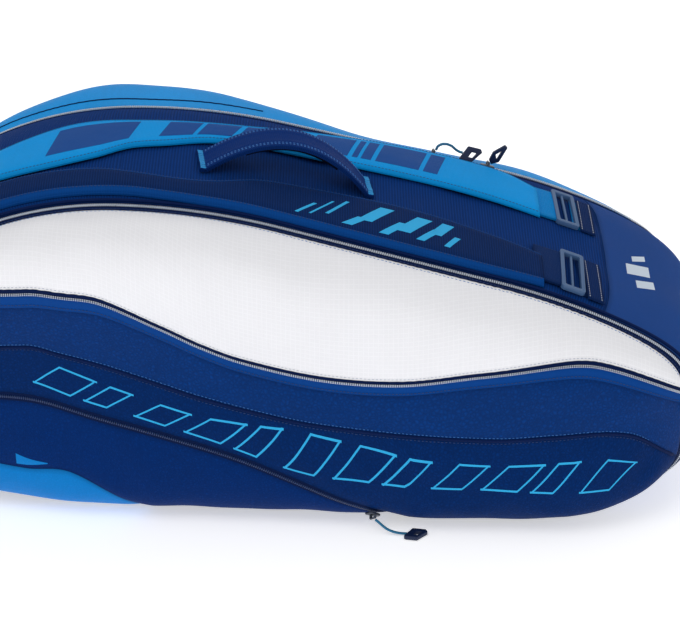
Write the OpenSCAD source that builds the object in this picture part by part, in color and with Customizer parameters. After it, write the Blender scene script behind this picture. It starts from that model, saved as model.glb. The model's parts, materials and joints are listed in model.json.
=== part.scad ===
// Racket tournament bag, standing on its base.
// +X runs towards the handle end, the front compartment faces -Y, +Z is up.
// The origin is the middle of the bag's outline, on the floor.

/* [Body] */
// Overall length of the bag
bag_length = 750; // [700:5:800]
// Half of the width, at the middle of the length
half_w = 148; // [135:1:160]
// Height of the spine where its straight slope starts
spine_h = 293.6; // [270:0.2:320]
// Fall of the spine towards the handle end, in degrees
spine_slope = 15.25; // [10:0.25:20]
// Radius of the arch over the head end
arch_r = 550; // [450:10:800]
// Length of the rounded head end
head_len = 237; // [200:1:260]
// Length of the rounded handle end
tail_len = 190; // [160:1:220]
// Radius with which the base turns up at the handle end
keel_r = 238; // [210:1:270]
// Widening per millimetre towards the handle end
taper = 0.0004; // [0:0.0001:0.0006]

/* [Panels] */
// Half width of the centre band, at the middle of the length
split_w = 100; // [92:1:106]
// How far the compartments swell over their zips at the head end
swell_head = 30; // [15:1:34]
// How far they swell at the handle end
swell_tail = 6; // [2:1:12]
// Thickness of the padded centre band
band_t = 3; // [2:0.5:4]
// Thickness of a compartment shell
shell_t = 2.2; // [1.5:0.1:2.5]
// Thickness of the divider between the compartments
divider_t = 6; // [4:0.5:8]
// Depth of the accessory pocket when it is empty
pocket_depth = 16; // [12:1:20]

/* [Zips] */
// Height of a zip coil over the fabric
coil_h = 1.5; // [1:0.1:2]
// Width of half a coil
coil_w = 1.7; // [1.2:0.1:2.2]
// Visible tape each side of a pocket zip
tape_w = 6.5; // [4:0.5:8]
// Length of a slider
slider_l = 13; // [10:0.5:16]
// Length of a moulded pull
pull_l = 20; // [18:1:26]
// Width of a moulded pull
pull_w = 14; // [12:0.5:16]
// Thickness of a moulded pull
pull_t = 4; // [2.5:0.1:4]
// Diameter of a pull's cord
cord_d = 2.4; // [2:0.1:3]

/* [Straps] */
// Thickness of a shoulder strap pad
pad_t = 7.5; // [5:0.5:10]
// Width of the strap webbing
web_w = 50; // [44:1:51]
// Thickness of the strap webbing
web_t = 1.8; // [1.2:0.1:2.5]
// Length of a ladder lock along the strap
lock_l = 22; // [18:1:26]
// Width of a ladder lock
lock_w = 62; // [61:1:66]

/* [Carry handle] */
// Distance between the handle's sewn ends
handle_span = 139; // [125:1:155]
// Rise of the handle over its sewn ends
handle_rise = 34; // [24:1:40]
// Width of the handle
handle_w = 38; // [30:1:40]
// Length of each end that stays with the bag
handle_foot = 22; // [18:1:26]

/* [Hidden] */

$fn = 32;
// Where the rounded ends start
head_x = head_len - bag_length / 2;
tail_x = bag_length / 2 - tail_len;
// Where the base starts to turn up
keel_x = 240;
// Power that rounds the upper half of a cross-section
crown = 4;
// What is taken off the bottom so that the base is flat
sole_cut = 1.2;
// Gap between the two sides of an open seam or zip
seam_gap = 0.3;
// Edge of the band, under the zip tape, and edge of a shell's fabric
band_edge = split_w - 3.4;
shell_edge = split_w + 4.5;
// Part of an outline step left open between two panels
cut = 0.0015;
// Air kept under pieces that lie on the bag
lay_gap = 0.8;
// Space between a compartment's shell and its lining
lining_gap = 3.2;

// Seam and zip lines of the front, as heights over the floor along the length
wave_line = [[-375, 120], [-320, 180], [-270, 222], [-214, 235], [-184, 235], [-150, 232],
    [-101, 211], [-68, 194], [-34, 180], [34, 164], [102, 161], [170, 171], [238, 179],
    [272, 175], [322, 152], [375, 115]];
seam_line = [[-375, 120], [-300, 168], [-218, 187], [-188, 181], [-154, 172], [-112, 157],
    [-70, 142], [-27, 130], [16, 120], [60, 114], [102, 110], [146, 108], [188, 108],
    [232, 111], [275, 112], [302, 106], [320, 94], [375, 40]];
diagonal_line = [[-375, 95], [-300, 124], [-222, 134], [-158, 118], [-71, 92], [-28, 76],
    [16, 55], [50, 37], [76, 24], [112, 4]];
accent_line = [[-375, 75], [-227, 59], [-185, 58], [-126, 13], [-108, 0]];
// Seam of the rear compartment
rear_line = [[-375, 150], [-235, 195], [-60, 155], [120, 125], [257, 122], [375, 90]];
// How far the compartments swell over their zips, along the length
swell_line = [[-375, 0.9 * swell_head], [-300, 0.9 * swell_head], [-120, swell_head],
    [80, swell_tail], [375, swell_tail]];

// Edges of the shoulder straps, as distances from the middle of the spine
near_low = [[-262, -88], [-128, -89], [-102, -91], [-60, -92.8], [188, -92.8], [226, -91]];
near_high = [[-262, -50], [-160, -52.5], [-129, -58], [-86, -64], [-56, -60.5], [-16, -44.5],
    [34, -37], [90, -31.5], [138, -33], [190, -42], [226, -50]];
far_low = [[-262, -40], [-205, -40], [-162, -28], [-132, -9], [-100, 0], [-60, 14], [60, 24.5],
    [150, 27], [230, 18]];
far_high = [[-262, 15], [-228, 27.5], [-180, 42], [-118, 44], [-30, 54], [14, 68], [80, 84],
    [134, 90], [198, 83], [230, 66]];
near_start = -262;
near_end = 226;
far_start = -262;
far_end = 230;

// ---------- small functions ----------
function mix(a, b, s) = a + (b - a) * s;
function steps(a, b, n) = [for (i = [0:n]) mix(a, b, i / n)];
function unit(v) = v / norm(v);
function knot(p, x, i = 0) = i >= len(p) - 2 || x < p[i + 1][0] ? i : knot(p, x, i + 1);
function lean(p, i) =
    let (a = p[max(i - 1, 0)], b = p[min(i + 1, len(p) - 1)])
    (b[1] - a[1]) / (b[0] - a[0]);
// Smooth line through the points p, read at x
function flow(p, x) =
    let (
        q = min(max(x, p[0][0]), p[len(p) - 1][0]),
        i = knot(p, q),
        h = p[i + 1][0] - p[i][0],
        s = (q - p[i][0]) / h
    )
    p[i][1] * (1 + 2 * s) * (1 - s) * (1 - s) + p[i + 1][1] * s * s * (3 - 2 * s)
    + h * (lean(p, i) * s * (1 - s) * (1 - s) - lean(p, i + 1) * s * s * (1 - s));

// ---------- skin of the bag ----------
function spine_z(x) = x > 0
    ? spine_h - tan(spine_slope) * x
    : spine_h - arch_r * cos(spine_slope)
        + sqrt(arch_r * arch_r - pow(x + arch_r * sin(spine_slope), 2));
function keel_z(x) = x > keel_x ? keel_r - sqrt(keel_r * keel_r - pow(x - keel_x, 2)) : 0;
function mid_z(x) = (spine_z(x) + keel_z(x)) / 2;
function half_h(x, t) = (spine_z(x) - keel_z(x)) / 2 - t;
function flare(x) = 1 + taper * x;
function end_u(x, t) = x < head_x ? (head_x - x) / (head_len - t)
    : x > tail_x ? (x - tail_x) / (tail_len - t) : 0;
// Point of the top at length x and w from the middle, t below the skin
function over(x, w, t) = [
    x,
    w * flare(x),
    mid_z(x) - sole_cut
        + half_h(x, t) * pow(max(0, 1 - pow(end_u(x, t), 2) - pow(w / (half_w - t), 4)), 1 / crown)
];
// Point of the outline at w from the middle: s runs from -1 to 1 over the top,
// on to 3 round the handle end, on to 5 along the base, and down to -3 round the head end
function loop(s, w, t) =
    let (
        e = sqrt(1 - pow(w / (half_w - t), 4)),
        a = s < -1 ? -90 * (s + 1) : s <= 1 ? 0 : s < 3 ? 90 * (s - 1) : 180,
        x = s < -1 ? head_x - (head_len - t) * e * sin(a)
            : s <= 1 ? mix(head_x, tail_x, (s + 1) / 2)
            : s < 3 ? tail_x + (tail_len - t) * e * sin(a)
            : mix(tail_x, head_x, (s - 3) / 2),
        v = a <= 90 ? pow(e * cos(a), 2 / crown) : -pow(-e * cos(a), 1 / 3)
    )
    [x, w * flare(x), max(mid_z(x) + half_h(x, t) * v - sole_cut, t)];
// Angle round the section at x, from the widest point, of the height z or of the distance w
function turn_z(x, z) =
    let (v = (z + sole_cut - mid_z(x)) / half_h(x, 0), e = sqrt(max(1e-6, 1 - pow(end_u(x, 0), 2))))
    v > 0 ? asin(min(1, pow(v, crown / 2) / e)) : -asin(min(1, pow(-v, 3) / e));
function turn_w(x, w) =
    acos(min(1, pow(w / half_w, 2) / sqrt(max(1e-6, 1 - pow(end_u(x, 0), 2)))));
// How far a compartment stands proud of the section at the angle f
function swell(x, f) =
    let (top = max(0.1, turn_w(x, shell_edge)))
    flow(swell_line, x) * sqrt(max(0, 1 - pow(end_u(x, 0), 2))) * sin(180 * min(1, max(0, f / top)));
// Point of the front at the angle f, t inside the skin
function round_front(x, f, t) =
    let (
        d = t - swell(x, f),
        e = max(0, 1 - pow(end_u(x, d), 2)),
        v = f > 0 ? pow(sqrt(e) * sin(f), 2 / crown) : -pow(-sqrt(e) * sin(f), 1 / 3)
    )
    [x, -(half_w - d) * pow(e, 0.25) * sqrt(cos(f)) * flare(x), mid_z(x) + half_h(x, d) * v - sole_cut];
function front(x, z, t) = round_front(x, turn_z(x, z), t);
// Heights at which a shell's fabric ends, at the top and at the bottom
function shell_top(x) = over(x, shell_edge, 0)[2];
function shell_bottom(x) = round_front(x, -turn_w(x, shell_edge), 0)[2];

// ---------- stations ----------
shell_e = sqrt(1 - pow(shell_edge / half_w, 4));
shell_x = concat(
    [for (a = [80:-13:15]) head_x - head_len * shell_e * sin(a)],
    steps(head_x, tail_x, 14),
    [for (a = [15:13:80]) tail_x + tail_len * shell_e * sin(a)]
);
// Places of the seams across the centre band
spine_from = -1.44;
spine_to = 1.358;
base_from = 2.8;
head_s = steps(-3, spine_from, 11);
top_s = concat(steps(-1.3, -1, 2), steps(-0.8, 0.8, 8), [1, 1.18]);
tail_s = steps(spine_to, base_from, 11);
loop_s = concat(head_s, top_s, tail_s, [3]);
ring_s = concat(loop_s, steps(3.25, 5 - cut, 7));
// Stretch over which a compartment's zip tape clears its hinge
open_s = [for (s = loop_s) if (abs(s) < 2.7) s];

// ---------- sheets ----------
// Closed sheet between an outer and an inner grid of points
module sheet(outer, inner) {
    n = len(outer);
    m = len(outer[0]);
    points = concat([for (row = outer) each row], [for (row = inner) each row]);
    quads = concat(
        [for (i = [0:n - 2], j = [0:m - 2])
            [i * m + j, i * m + j + 1, (i + 1) * m + j + 1, (i + 1) * m + j]],
        [for (i = [0:n - 2], j = [0:m - 2])
            [n * m + i * m + j, n * m + (i + 1) * m + j, n * m + (i + 1) * m + j + 1, n * m + i * m + j + 1]],
        [for (i = [0:n - 2]) [i * m, (i + 1) * m, n * m + (i + 1) * m, n * m + i * m]],
        [for (i = [0:n - 2])
            [(i + 2) * m - 1, (i + 1) * m - 1, n * m + (i + 1) * m - 1, n * m + (i + 2) * m - 1]],
        [for (j = [0:m - 2]) [j + 1, j, n * m + j, n * m + j + 1]],
        [for (j = [0:m - 2])
            [(n - 1) * m + j, (n - 1) * m + j + 1, (2 * n - 1) * m + j + 1, (2 * n - 1) * m + j]]
    );
    faces = [for (q = quads) each [[q[0], q[1], q[2]], [q[0], q[2], q[3]]]];
    polyhedron(points = points, faces = faces, convexity = 8);
}

// Piece of the centre band between two places of the outline
module band(places, widths, t_out, t_in) {
    sheet(
        [for (s = places) [for (w = widths) loop(s, w, t_out)]],
        [for (s = places) [for (w = widths) loop(s, w, t_in)]]
    );
}

// Piece that lies on the top between two edges
module top_piece(xs, low, high, rows, t_out, t_in) {
    sheet(
        [for (x = xs) [for (j = [0:rows]) over(x, mix(low(x), high(x), j / rows), t_out)]],
        [for (x = xs) [for (j = [0:rows]) over(x, mix(low(x), high(x), j / rows), t_in)]]
    );
}

// Piece of the front between two heights; the rows close up towards the bottom when crowd is 1
module front_piece(low, high, rows, t_out, t_in, crowd = 0) {
    xs = [for (x = shell_x) if (high(x) - low(x) > 2.5) x];
    part_of = function (j) crowd == 1 ? 1 - cos(90 * j / rows) : j / rows;
    sheet(
        [for (x = xs) [for (j = [0:rows]) front(x, mix(low(x), high(x), part_of(j)), t_out)]],
        [for (x = xs) [for (j = [0:rows])
            round_front(x, turn_z(x, mix(low(x), high(x), part_of(j))), t_in)]]
    );
}

// Narrow raised line on the front, between two offsets from a seam
module front_strip(line, a, b, t_out, t_in, x0, x1) {
    xs = [for (x = shell_x) if (x >= x0 && x <= x1
        && flow(line, x) + a > shell_bottom(x) + 1 && flow(line, x) + b < shell_top(x) - 1) x];
    sheet(
        [for (x = xs) [front(x, flow(line, x) + a, t_out), front(x, flow(line, x) + b, t_out)]],
        [for (x = xs) [front(x, flow(line, x) + a, t_in), front(x, flow(line, x) + b, t_in)]]
    );
}

module rear() {
    mirror([0, 1, 0]) children();
}

// ---------- placing ----------
// Frame at o with its first axis along ex and its second near ey
module at(o, ex, ey) {
    x = unit(ex);
    z = unit(cross(x, ey));
    y = cross(z, x);
    multmatrix([
        [x[0], y[0], z[0], o[0]],
        [x[1], y[1], z[1], o[1]],
        [x[2], y[2], z[2], o[2]],
        [0, 0, 0, 1]
    ]) children();
}

module on_top(x, w, lift) {
    at(over(x, w, -lift), over(x + 2, w, 0) - over(x - 2, w, 0), over(x, w + 2, 0) - over(x, w - 2, 0))
        children();
}

module rounded(l, w, r) {
    square([l - 2 * r, w], center = true);
    square([l, w - 2 * r], center = true);
    for (x = [-1, 1], y = [-1, 1])
        translate([x * (l / 2 - r), y * (w / 2 - r)]) circle(r);
}

// ---------- centre band ----------
band_rows = [-band_edge, -80, -60, -30, 0, 30, 60, 80, band_edge];
base_rows = [-band_edge, -80, -60, 60, 80, band_edge];

module spine_panel() {
    color("midnightblue")
        band(concat([spine_from], top_s, [spine_to]), band_rows, 0, band_t);
}

module head_end_panel() {
    color("navy")
        band([for (s = head_s) min(max(s, cut - 3), spine_from - cut)], band_rows, 0, band_t);
}

module handle_end_panel() {
    color("darkslateblue")
        band([for (s = tail_s) min(max(s, spine_to + cut), base_from - cut)], band_rows, 0, band_t);
}

module base_panel() {
    color("black")
        band(concat([base_from, 3], steps(3.1, 5, 9)), base_rows, 0, band_t);
}

module centre_divider() {
    places = concat([for (s = loop_s) if (s > -3) s], steps(3.2, 5, 4));
    inset = band_t + 0.9;
    color("slategray")
        rotate([90, 0, 0])
            linear_extrude(divider_t, center = true)
                polygon([for (s = places) [loop(s, 0, inset)[0], loop(s, 0, inset)[2]]]);
}

module front_welt() {
    color("darkblue") band(loop_s, [1 - band_edge, 3.4 - band_edge], -2.1, -0.5);
}

module rear_welt() {
    color("darkblue") rear() front_welt();
}

// Half of a main zip: its tape and half of the coil
module main_zip(places, tape_from, tape_to, coil_from, coil_to) {
    color("steelblue") band(places, [tape_from, tape_to], 0.1, 0.9);
    color("lightgray") band(open_s, [coil_from, coil_to], -coil_h, 0);
}

module front_zip_core() {
    main_zip(ring_s, 0.15 - split_w, 3.2 - split_w, 0.15 - split_w, 0.15 + coil_w - split_w);
}

module rear_zip_core() {
    rear() front_zip_core();
}

module front_zip_shell() {
    main_zip(open_s, -split_w - 1.9, -split_w - 0.15, -split_w - 0.15 - coil_w, -split_w - 0.15);
}

module rear_zip_shell() {
    rear() front_zip_shell();
}

// ---------- front shell ----------
wave_in = seam_gap / 2;

module thermal_panel() {
    color("white")
        front_piece(function (x) flow(wave_line, x) + 3.6, function (x) shell_top(x), 7, 0, shell_t);
}

module thermal_lining() {
    color("silver")
        front_piece(function (x) flow(wave_line, x) + 5, function (x) shell_top(x) - 3, 5,
            shell_t + lining_gap, shell_t + lining_gap + 0.8);
}

// Inner wall of the accessory pocket, bowed away from the pocket's cover
module pocket_back_wall() {
    low = function (x) shell_bottom(x) + 3;
    high = function (x) min(flow(wave_line, x) - 2, shell_top(x) - 4);
    xs = [for (x = shell_x) if (abs(x) < 310 && high(x) - low(x) > 20) x];
    bow = function (j) shell_t + 1.4 + (pocket_depth - shell_t - 1.4) * min(1, 2.4 * sin(180 * j / 5));
    color("dimgray") sheet(
        [for (x = xs) [for (j = [0:5]) front(x, mix(low(x), high(x), j / 5), bow(j))]],
        [for (x = xs) [for (j = [0:5]) front(x, mix(low(x), high(x), j / 5), bow(j) + 1.5)]]
    );
}

module wave_zip_upper() {
    color("steelblue") front_strip(wave_line, wave_in, 3.3, 0.1, 0.9, -343, 349);
    color("lightgray") front_strip(wave_line, wave_in, wave_in + coil_w, -coil_h, 0, -343, 349);
}

// ---------- accessory pocket cover ----------
module wave_zip_lower() {
    color("royalblue") front_strip(wave_line, -3 - tape_w, -wave_in, 0.1, 0.9, -343, 349);
    color("lightgray") front_strip(wave_line, -wave_in - coil_w, -wave_in, -coil_h, 0, -343, 349);
}

module accessory_panel() {
    color("mediumblue")
        front_piece(
            function (x) max(flow(seam_line, x) + 0.2, shell_bottom(x)),
            function (x) min(flow(wave_line, x) - tape_w - 3.3, shell_top(x)),
            3, 0, shell_t);
}

module lower_pocket_panel() {
    color("darkblue")
        front_piece(
            function (x) max(shell_bottom(x), flow(diagonal_line, x) + tape_w / 2 + 0.3),
            function (x) min(flow(seam_line, x) - 0.2, shell_top(x)),
            5, 0, shell_t, 1);
}

module lower_corner_panel() {
    color("navy")
        front_piece(
            function (x) max(shell_bottom(x), flow(accent_line, x) + 0.4),
            function (x) flow(diagonal_line, x) - tape_w / 2 - 0.3,
            4, 0, shell_t, 1);
}

module corner_accent() {
    color("deepskyblue")
        front_piece(
            function (x) shell_bottom(x) + 0.5,
            function (x) flow(accent_line, x),
            3, 0, shell_t, 1);
}

module pocket_seam_welt() {
    color("darkblue") front_strip(seam_line, -1.1, 1.1, -1.4, -0.1, -343, 349);
}

module diagonal_zip() {
    color("navy") front_strip(diagonal_line, -tape_w / 2, tape_w / 2, 0.1, 0.9, -343, 78);
    color("midnightblue") front_strip(diagonal_line, -coil_w, coil_w, -coil_h, 0, -343, 78);
}

// ---------- rear shell ----------
module rear_upper_panel() {
    color("deepskyblue")
        rear() front_piece(function (x) flow(rear_line, x) + 0.2, function (x) shell_top(x), 7, 0, shell_t);
}

module rear_lower_panel() {
    color("darkblue")
        rear() front_piece(function (x) shell_bottom(x),
            function (x) min(flow(rear_line, x) - 0.2, shell_top(x)), 5, 0, shell_t, 1);
}

module rear_seam_welt() {
    color("navy") rear() front_strip(rear_line, -1.1, 1.1, -1.4, -0.1, -343, 349);
}

module rear_lining() {
    color("slategray")
        rear() front_piece(function (x) shell_bottom(x) + 3, function (x) shell_top(x) - 3, 11,
            shell_t + lining_gap, shell_t + lining_gap + 0.8, 1);
}

// ---------- shoulder straps ----------
near_mid = -60;
far_mid = 46;
near_lock_x = 252;
far_lock_x = 254;

module near_strap_pad() {
    color("darkblue")
        top_piece(steps(near_start, near_end, 20), function (x) flow(near_low, x),
            function (x) flow(near_high, x), 3, -pad_t, -lay_gap);
}

module far_strap_pad() {
    color("deepskyblue")
        top_piece(steps(far_start, far_end, 20), function (x) flow(far_low, x),
            function (x) flow(far_high, x), 3, -pad_t, -3);
}

module far_strap_backing() {
    color("black")
        top_piece(steps(far_start + 3, far_end - 3, 20), function (x) flow(far_low, x) + 2,
            function (x) flow(far_high, x) - 2, 2, -2.8, -lay_gap);
}

module web_piece(x0, x1, middle, t_out, t_in) {
    top_piece(steps(x0, x1, 3), function (x) middle - web_w / 2, function (x) middle + web_w / 2,
        3, t_out, t_in);
}

module near_strap_webbing() {
    color("steelblue") web_piece(near_end + 0.2, near_lock_x - lock_l / 2 - 1, near_mid, -3.2 - web_t, -3.2);
}

module far_strap_webbing() {
    color("deepskyblue") web_piece(far_end + 0.2, far_lock_x - lock_l / 2 - 1, far_mid, -3.2 - web_t, -3.2);
}

module near_anchor_webbing() {
    color("steelblue") web_piece(near_lock_x + lock_l / 2 + 1, 278, near_mid, -lay_gap - web_t, -lay_gap);
}

module far_anchor_webbing() {
    color("deepskyblue") web_piece(far_lock_x + lock_l / 2 + 1, 280, far_mid, -lay_gap - web_t, -lay_gap);
}

module anchor_patch(x0, x1, middle) {
    color("navy") top_piece(steps(x0, x1, 3), function (x) middle - web_w / 2 - 3,
        function (x) middle + web_w / 2 + 3, 3, -lay_gap - web_t - 1.4, -lay_gap - web_t - 0.1);
}

module near_anchor_patch() {
    anchor_patch(264.5, 279, near_mid);
}

module far_anchor_patch() {
    anchor_patch(267, 281, far_mid);
}

module strap_yoke() {
    color("navy")
        top_piece(steps(-292, near_start - 0.3, 4), function (x) -90, function (x) 18, 6, -5, -lay_gap);
}

// Frame with a bar across its window, which the webbing turns back over
module ladder_lock() {
    difference() {
        linear_extrude(4) rounded(lock_l, lock_w, 3);
        translate([0, 0, -1]) linear_extrude(6) rounded(lock_l - 7, lock_w - 9, 1.5);
    }
    translate([0, 0, 1.4]) rotate([90, 0, 0]) cylinder(h = lock_w - 7, r = 1.3, center = true);
}

module near_ladder_lock() {
    color("lightslategray") on_top(near_lock_x, near_mid, 1.6) ladder_lock();
}

module far_ladder_lock() {
    color("lightslategray") on_top(far_lock_x, far_mid, 1.6) ladder_lock();
}

// ---------- carry handle ----------
handle_x = -67;
web_rise = 3;
// Distances of the handle's ends from the middle of the spine
handle_near = -24;
handle_far = -6.5;
handle_from = over(handle_x, handle_near, -1.6);
handle_to = over(handle_x + handle_span, handle_far, -1.6);
chord = norm(handle_to - handle_from);
function arch(x) = handle_rise * (1 - pow(2 * x / chord - 1, 2));

module handle_strip(x0, x1, below, above, w) {
    xs = steps(x0, x1, 14);
    at(handle_from, handle_to - handle_from, [0, 1, -0.06])
        rotate([90, 0, 0])
            linear_extrude(w, center = true)
                polygon(concat(
                    [for (x = xs) [x, arch(x) + above]],
                    [for (i = [len(xs) - 1:-1:0]) [xs[i], arch(xs[i]) + below]]
                ));
}

module handle_tabs() {
    color("navy") {
        handle_strip(0, handle_foot, 0, web_rise, handle_w);
        handle_strip(chord - handle_foot, chord, 0, web_rise, handle_w);
    }
}

module handle_bartacks() {
    color("deepskyblue")
        at(handle_from, handle_to - handle_from, [0, 1, -0.06])
            for (x = [-5.2, chord + 0.2])
                translate([x, -handle_w / 2, 0]) cube([5, handle_w, web_rise]);
}

module carry_handle() {
    color("navy") handle_strip(handle_foot + 0.4, chord - handle_foot - 0.4, 0, web_rise, handle_w);
}

module handle_padding() {
    color("midnightblue")
        handle_strip(handle_foot + 8, chord - handle_foot - 8, -3.5, -0.05, handle_w - 6);
}

// ---------- zip sliders, cords and pulls ----------
bar_h = 4.6;
bar_r = 0.9;

// Slider over a zip: its length along x, its crossbar along y
module slider() {
    color("dimgray") {
        linear_extrude(1.8)
            polygon([[-slider_l / 2, -3], [-slider_l / 2 + 2, -4], [slider_l / 2 - 3, -4],
                [slider_l / 2, -2], [slider_l / 2, 2], [slider_l / 2 - 3, 4],
                [-slider_l / 2 + 2, 4], [-slider_l / 2, 3]]);
        for (y = [-1, 1])
            translate([0, y * 3.2, 1.7]) linear_extrude(bar_h - 1.7) square([2.4, 1.4], center = true);
        translate([0, 0, bar_h]) rotate([90, 0, 0]) cylinder(h = 7.8, r = bar_r, center = true);
    }
}

// Moulded pull with a lozenge hole, its cord end at the origin, lying along x
module pull_shape() {
    half = pull_w / 2;
    translate([0, 0, -pull_t / 2])
        linear_extrude(pull_t) difference() {
            polygon([[0, 1 - half], [2, -half], [pull_l * 0.6, -half], [pull_l, half - 3],
                [pull_l - 2, half], [pull_l * 0.3, half]]);
            polygon([[pull_l * 0.4, -2.8], [pull_l * 0.6, -2.8], [pull_l * 0.75, 2.4], [pull_l * 0.52, 2.4]]);
        }
}

// Open pull that hangs straight on a crossbar at the origin, standing along x
module ring_shape() {
    rotate([90, 0, 0]) {
        linear_extrude(pull_t - 1, center = true) difference() {
            polygon([[1.6, -2.2], [9, -3.6], [pull_l + 2, 6], [pull_l + 1, 9], [8, 7.5], [1.6, 2.2]]);
            polygon([[8, -0.6], [pull_l - 3.5, 5.6], [9.5, 4.8]]);
        }
    }
}

// Round cord along the points p
module cord(p) {
    n = len(p);
    sides = 8;
    way = [for (i = [0:n - 1]) unit(p[min(i + 1, n - 1)] - p[max(i - 1, 0)])];
    points = [for (i = [0:n - 1]) each [for (k = [0:sides - 1])
        let (
            a = unit(cross(way[i], abs(way[i][2]) > 0.9 ? [1, 0, 0] : [0, 0, 1])),
            b = cross(way[i], a)
        )
        p[i] + cord_d / 2 * (a * cos(360 * k / sides) + b * sin(360 * k / sides))]];
    walls = [for (i = [0:n - 2], k = [0:sides - 1])
        [i * sides + k, i * sides + (k + 1) % sides, (i + 1) * sides + (k + 1) % sides, (i + 1) * sides + k]];
    faces = concat(
        [for (q = walls) each [[q[0], q[2], q[1]], [q[0], q[3], q[2]]]],
        [[for (k = [0:sides - 1]) k]],
        [[for (k = [sides - 1:-1:0]) (n - 1) * sides + k]]
    );
    color("deepskyblue") polyhedron(points = points, faces = faces, convexity = 4);
}

// Places of the sliders: each is [point on the zip, way along the zip, way across it]
zip_lift = coil_h + 0.35;
function on_zip(s, side) = let (p = loop(s, split_w, -zip_lift)) [p[0], side * p[1], p[2]];
function across_zip(s, side) =
    let (d = loop(s, split_w + 2, 0) - loop(s, split_w - 2, 0))
    [d[0], side * d[1], d[2]];
function place_on_top(s, side) =
    [on_zip(s, side), on_zip(s + 0.01, side) - on_zip(s - 0.01, side), across_zip(s, side)];
function zip_s(x) = 2 * (x - head_x) / (tail_x - head_x) - 1;
rear_left_place = place_on_top(zip_s(136), 1);
rear_right_place = place_on_top(zip_s(186), 1);
front_s = -1.75;
front_place = [
    on_zip(front_s, -1),
    on_zip(front_s - 0.02, -1) - on_zip(front_s + 0.02, -1),
    across_zip(front_s, -1)
];
function on_front(line, x, t) = front(x, flow(line, x), t);
pocket_x = -292;
pocket_place = [
    on_front(wave_line, pocket_x, -zip_lift - 0.5),
    on_front(wave_line, pocket_x + 4, 0) - on_front(wave_line, pocket_x - 4, 0),
    front(pocket_x, flow(wave_line, pocket_x) + 4, 0) - front(pocket_x, flow(wave_line, pocket_x) - 4, 0)
];
diagonal_x = 80;
diagonal_place = [
    on_front(diagonal_line, diagonal_x, -zip_lift - 0.5),
    on_front(diagonal_line, diagonal_x + 4, 0) - on_front(diagonal_line, diagonal_x - 4, 0),
    front(diagonal_x, flow(diagonal_line, diagonal_x) + 3, 0)
        - front(diagonal_x, flow(diagonal_line, diagonal_x) - 3, 0)
];
function bar_of(place) =
    let (x = unit(place[1]), z = unit(cross(x, place[2])))
    place[0] + z * bar_h;

module slider_at(place) {
    at(place[0], place[1], place[2]) slider();
}

// Routes of the cords, from each crossbar to its pull
rear_left_route = [[139.2, 107, 254.6], [140.5, 107.4, 258.2], [144.5, 108.3, 260], [149.5, 109.8, 259.2],
    [154, 112, 256], [157.5, 114, 251.5], [161, 115.3, 248.4], [164, 116, 247.3]];
front_route = [[-340.7, -89.7, 222.3], [-345.5, -89.7, 220.5], [-350, -89.7, 216.2], [-353.5, -89.7, 210.5],
    [-355.5, -89.7, 204], [-356.6, -89.7, 197.5], [-357.2, -89.7, 191]];
pocket_route = [[-293.6, -135.6, 214.2], [-293.6, -137.4, 210.5], [-293.6, -138, 205], [-293.6, -138, 199],
    [-293.6, -137.5, 193], [-293.6, -136.5, 187], [-293.6, -136, 181.5]];
diagonal_route = [[82, -144.6, 15.8], [85.5, -145.5, 13], [89, -146, 9.5], [93, -146.3, 6.3], [98, -146.5, 4],
    [103, -146.6, 2.8], [107, -146.7, 2.4], [110, -146.7, 2.3]];

// Pull along way, gripping the last two millimetres of a cord
module pull_on(route, way, across) {
    color("black")
        at(route[len(route) - 1] - 2 * unit(way), way, across) pull_shape();
}

module rear_left_slider() {
    slider_at(rear_left_place);
}

module rear_left_cord() {
    cord(rear_left_route);
}

module rear_left_pull() {
    pull_on(rear_left_route, [0.965, 0, -0.262], [0, 0.5, 0.87]);
}

module rear_right_slider() {
    slider_at(rear_right_place);
}

module rear_right_pull() {
    color("black") at(bar_of(rear_right_place), [0.9, 0, 0.44], [0, 1, 0]) ring_shape();
}

module front_slider() {
    slider_at(front_place);
}

module front_cord() {
    cord(front_route);
}

module front_pull() {
    pull_on(front_route, [0, 0, -1], [0, 1, 0]);
}

module pocket_slider() {
    slider_at(pocket_place);
}

module pocket_cord() {
    cord(pocket_route);
}

module pocket_pull() {
    pull_on(pocket_route, [0, 0, -1], [1, 0, 0]);
}

module diagonal_slider() {
    slider_at(diagonal_place);
}

module diagonal_cord() {
    cord(diagonal_route);
}

module diagonal_pull() {
    pull_on(diagonal_route, [0.98, -0.17, 0], [0.17, 0.98, 0]);
}

spine_panel();
head_end_panel();
handle_end_panel();
base_panel();
centre_divider();
front_welt();
rear_welt();
front_zip_core();
rear_zip_core();
near_strap_pad();
far_strap_pad();
far_strap_backing();
near_strap_webbing();
far_strap_webbing();
near_anchor_webbing();
far_anchor_webbing();
near_anchor_patch();
far_anchor_patch();
strap_yoke();
handle_tabs();
handle_bartacks();
carry_handle();
handle_padding();
near_ladder_lock();
far_ladder_lock();
thermal_panel();
thermal_lining();
pocket_back_wall();
front_zip_shell();
wave_zip_upper();
accessory_panel();
lower_pocket_panel();
lower_corner_panel();
corner_accent();
pocket_seam_welt();
diagonal_zip();
wave_zip_lower();
rear_upper_panel();
rear_lower_panel();
rear_seam_welt();
rear_lining();
rear_zip_shell();
rear_left_slider();
rear_left_cord();
rear_left_pull();
rear_right_slider();
rear_right_pull();
front_slider();
front_cord();
front_pull();
pocket_slider();
pocket_cord();
pocket_pull();
diagonal_slider();
diagonal_cord();
diagonal_pull();
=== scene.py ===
import json
import math

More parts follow.
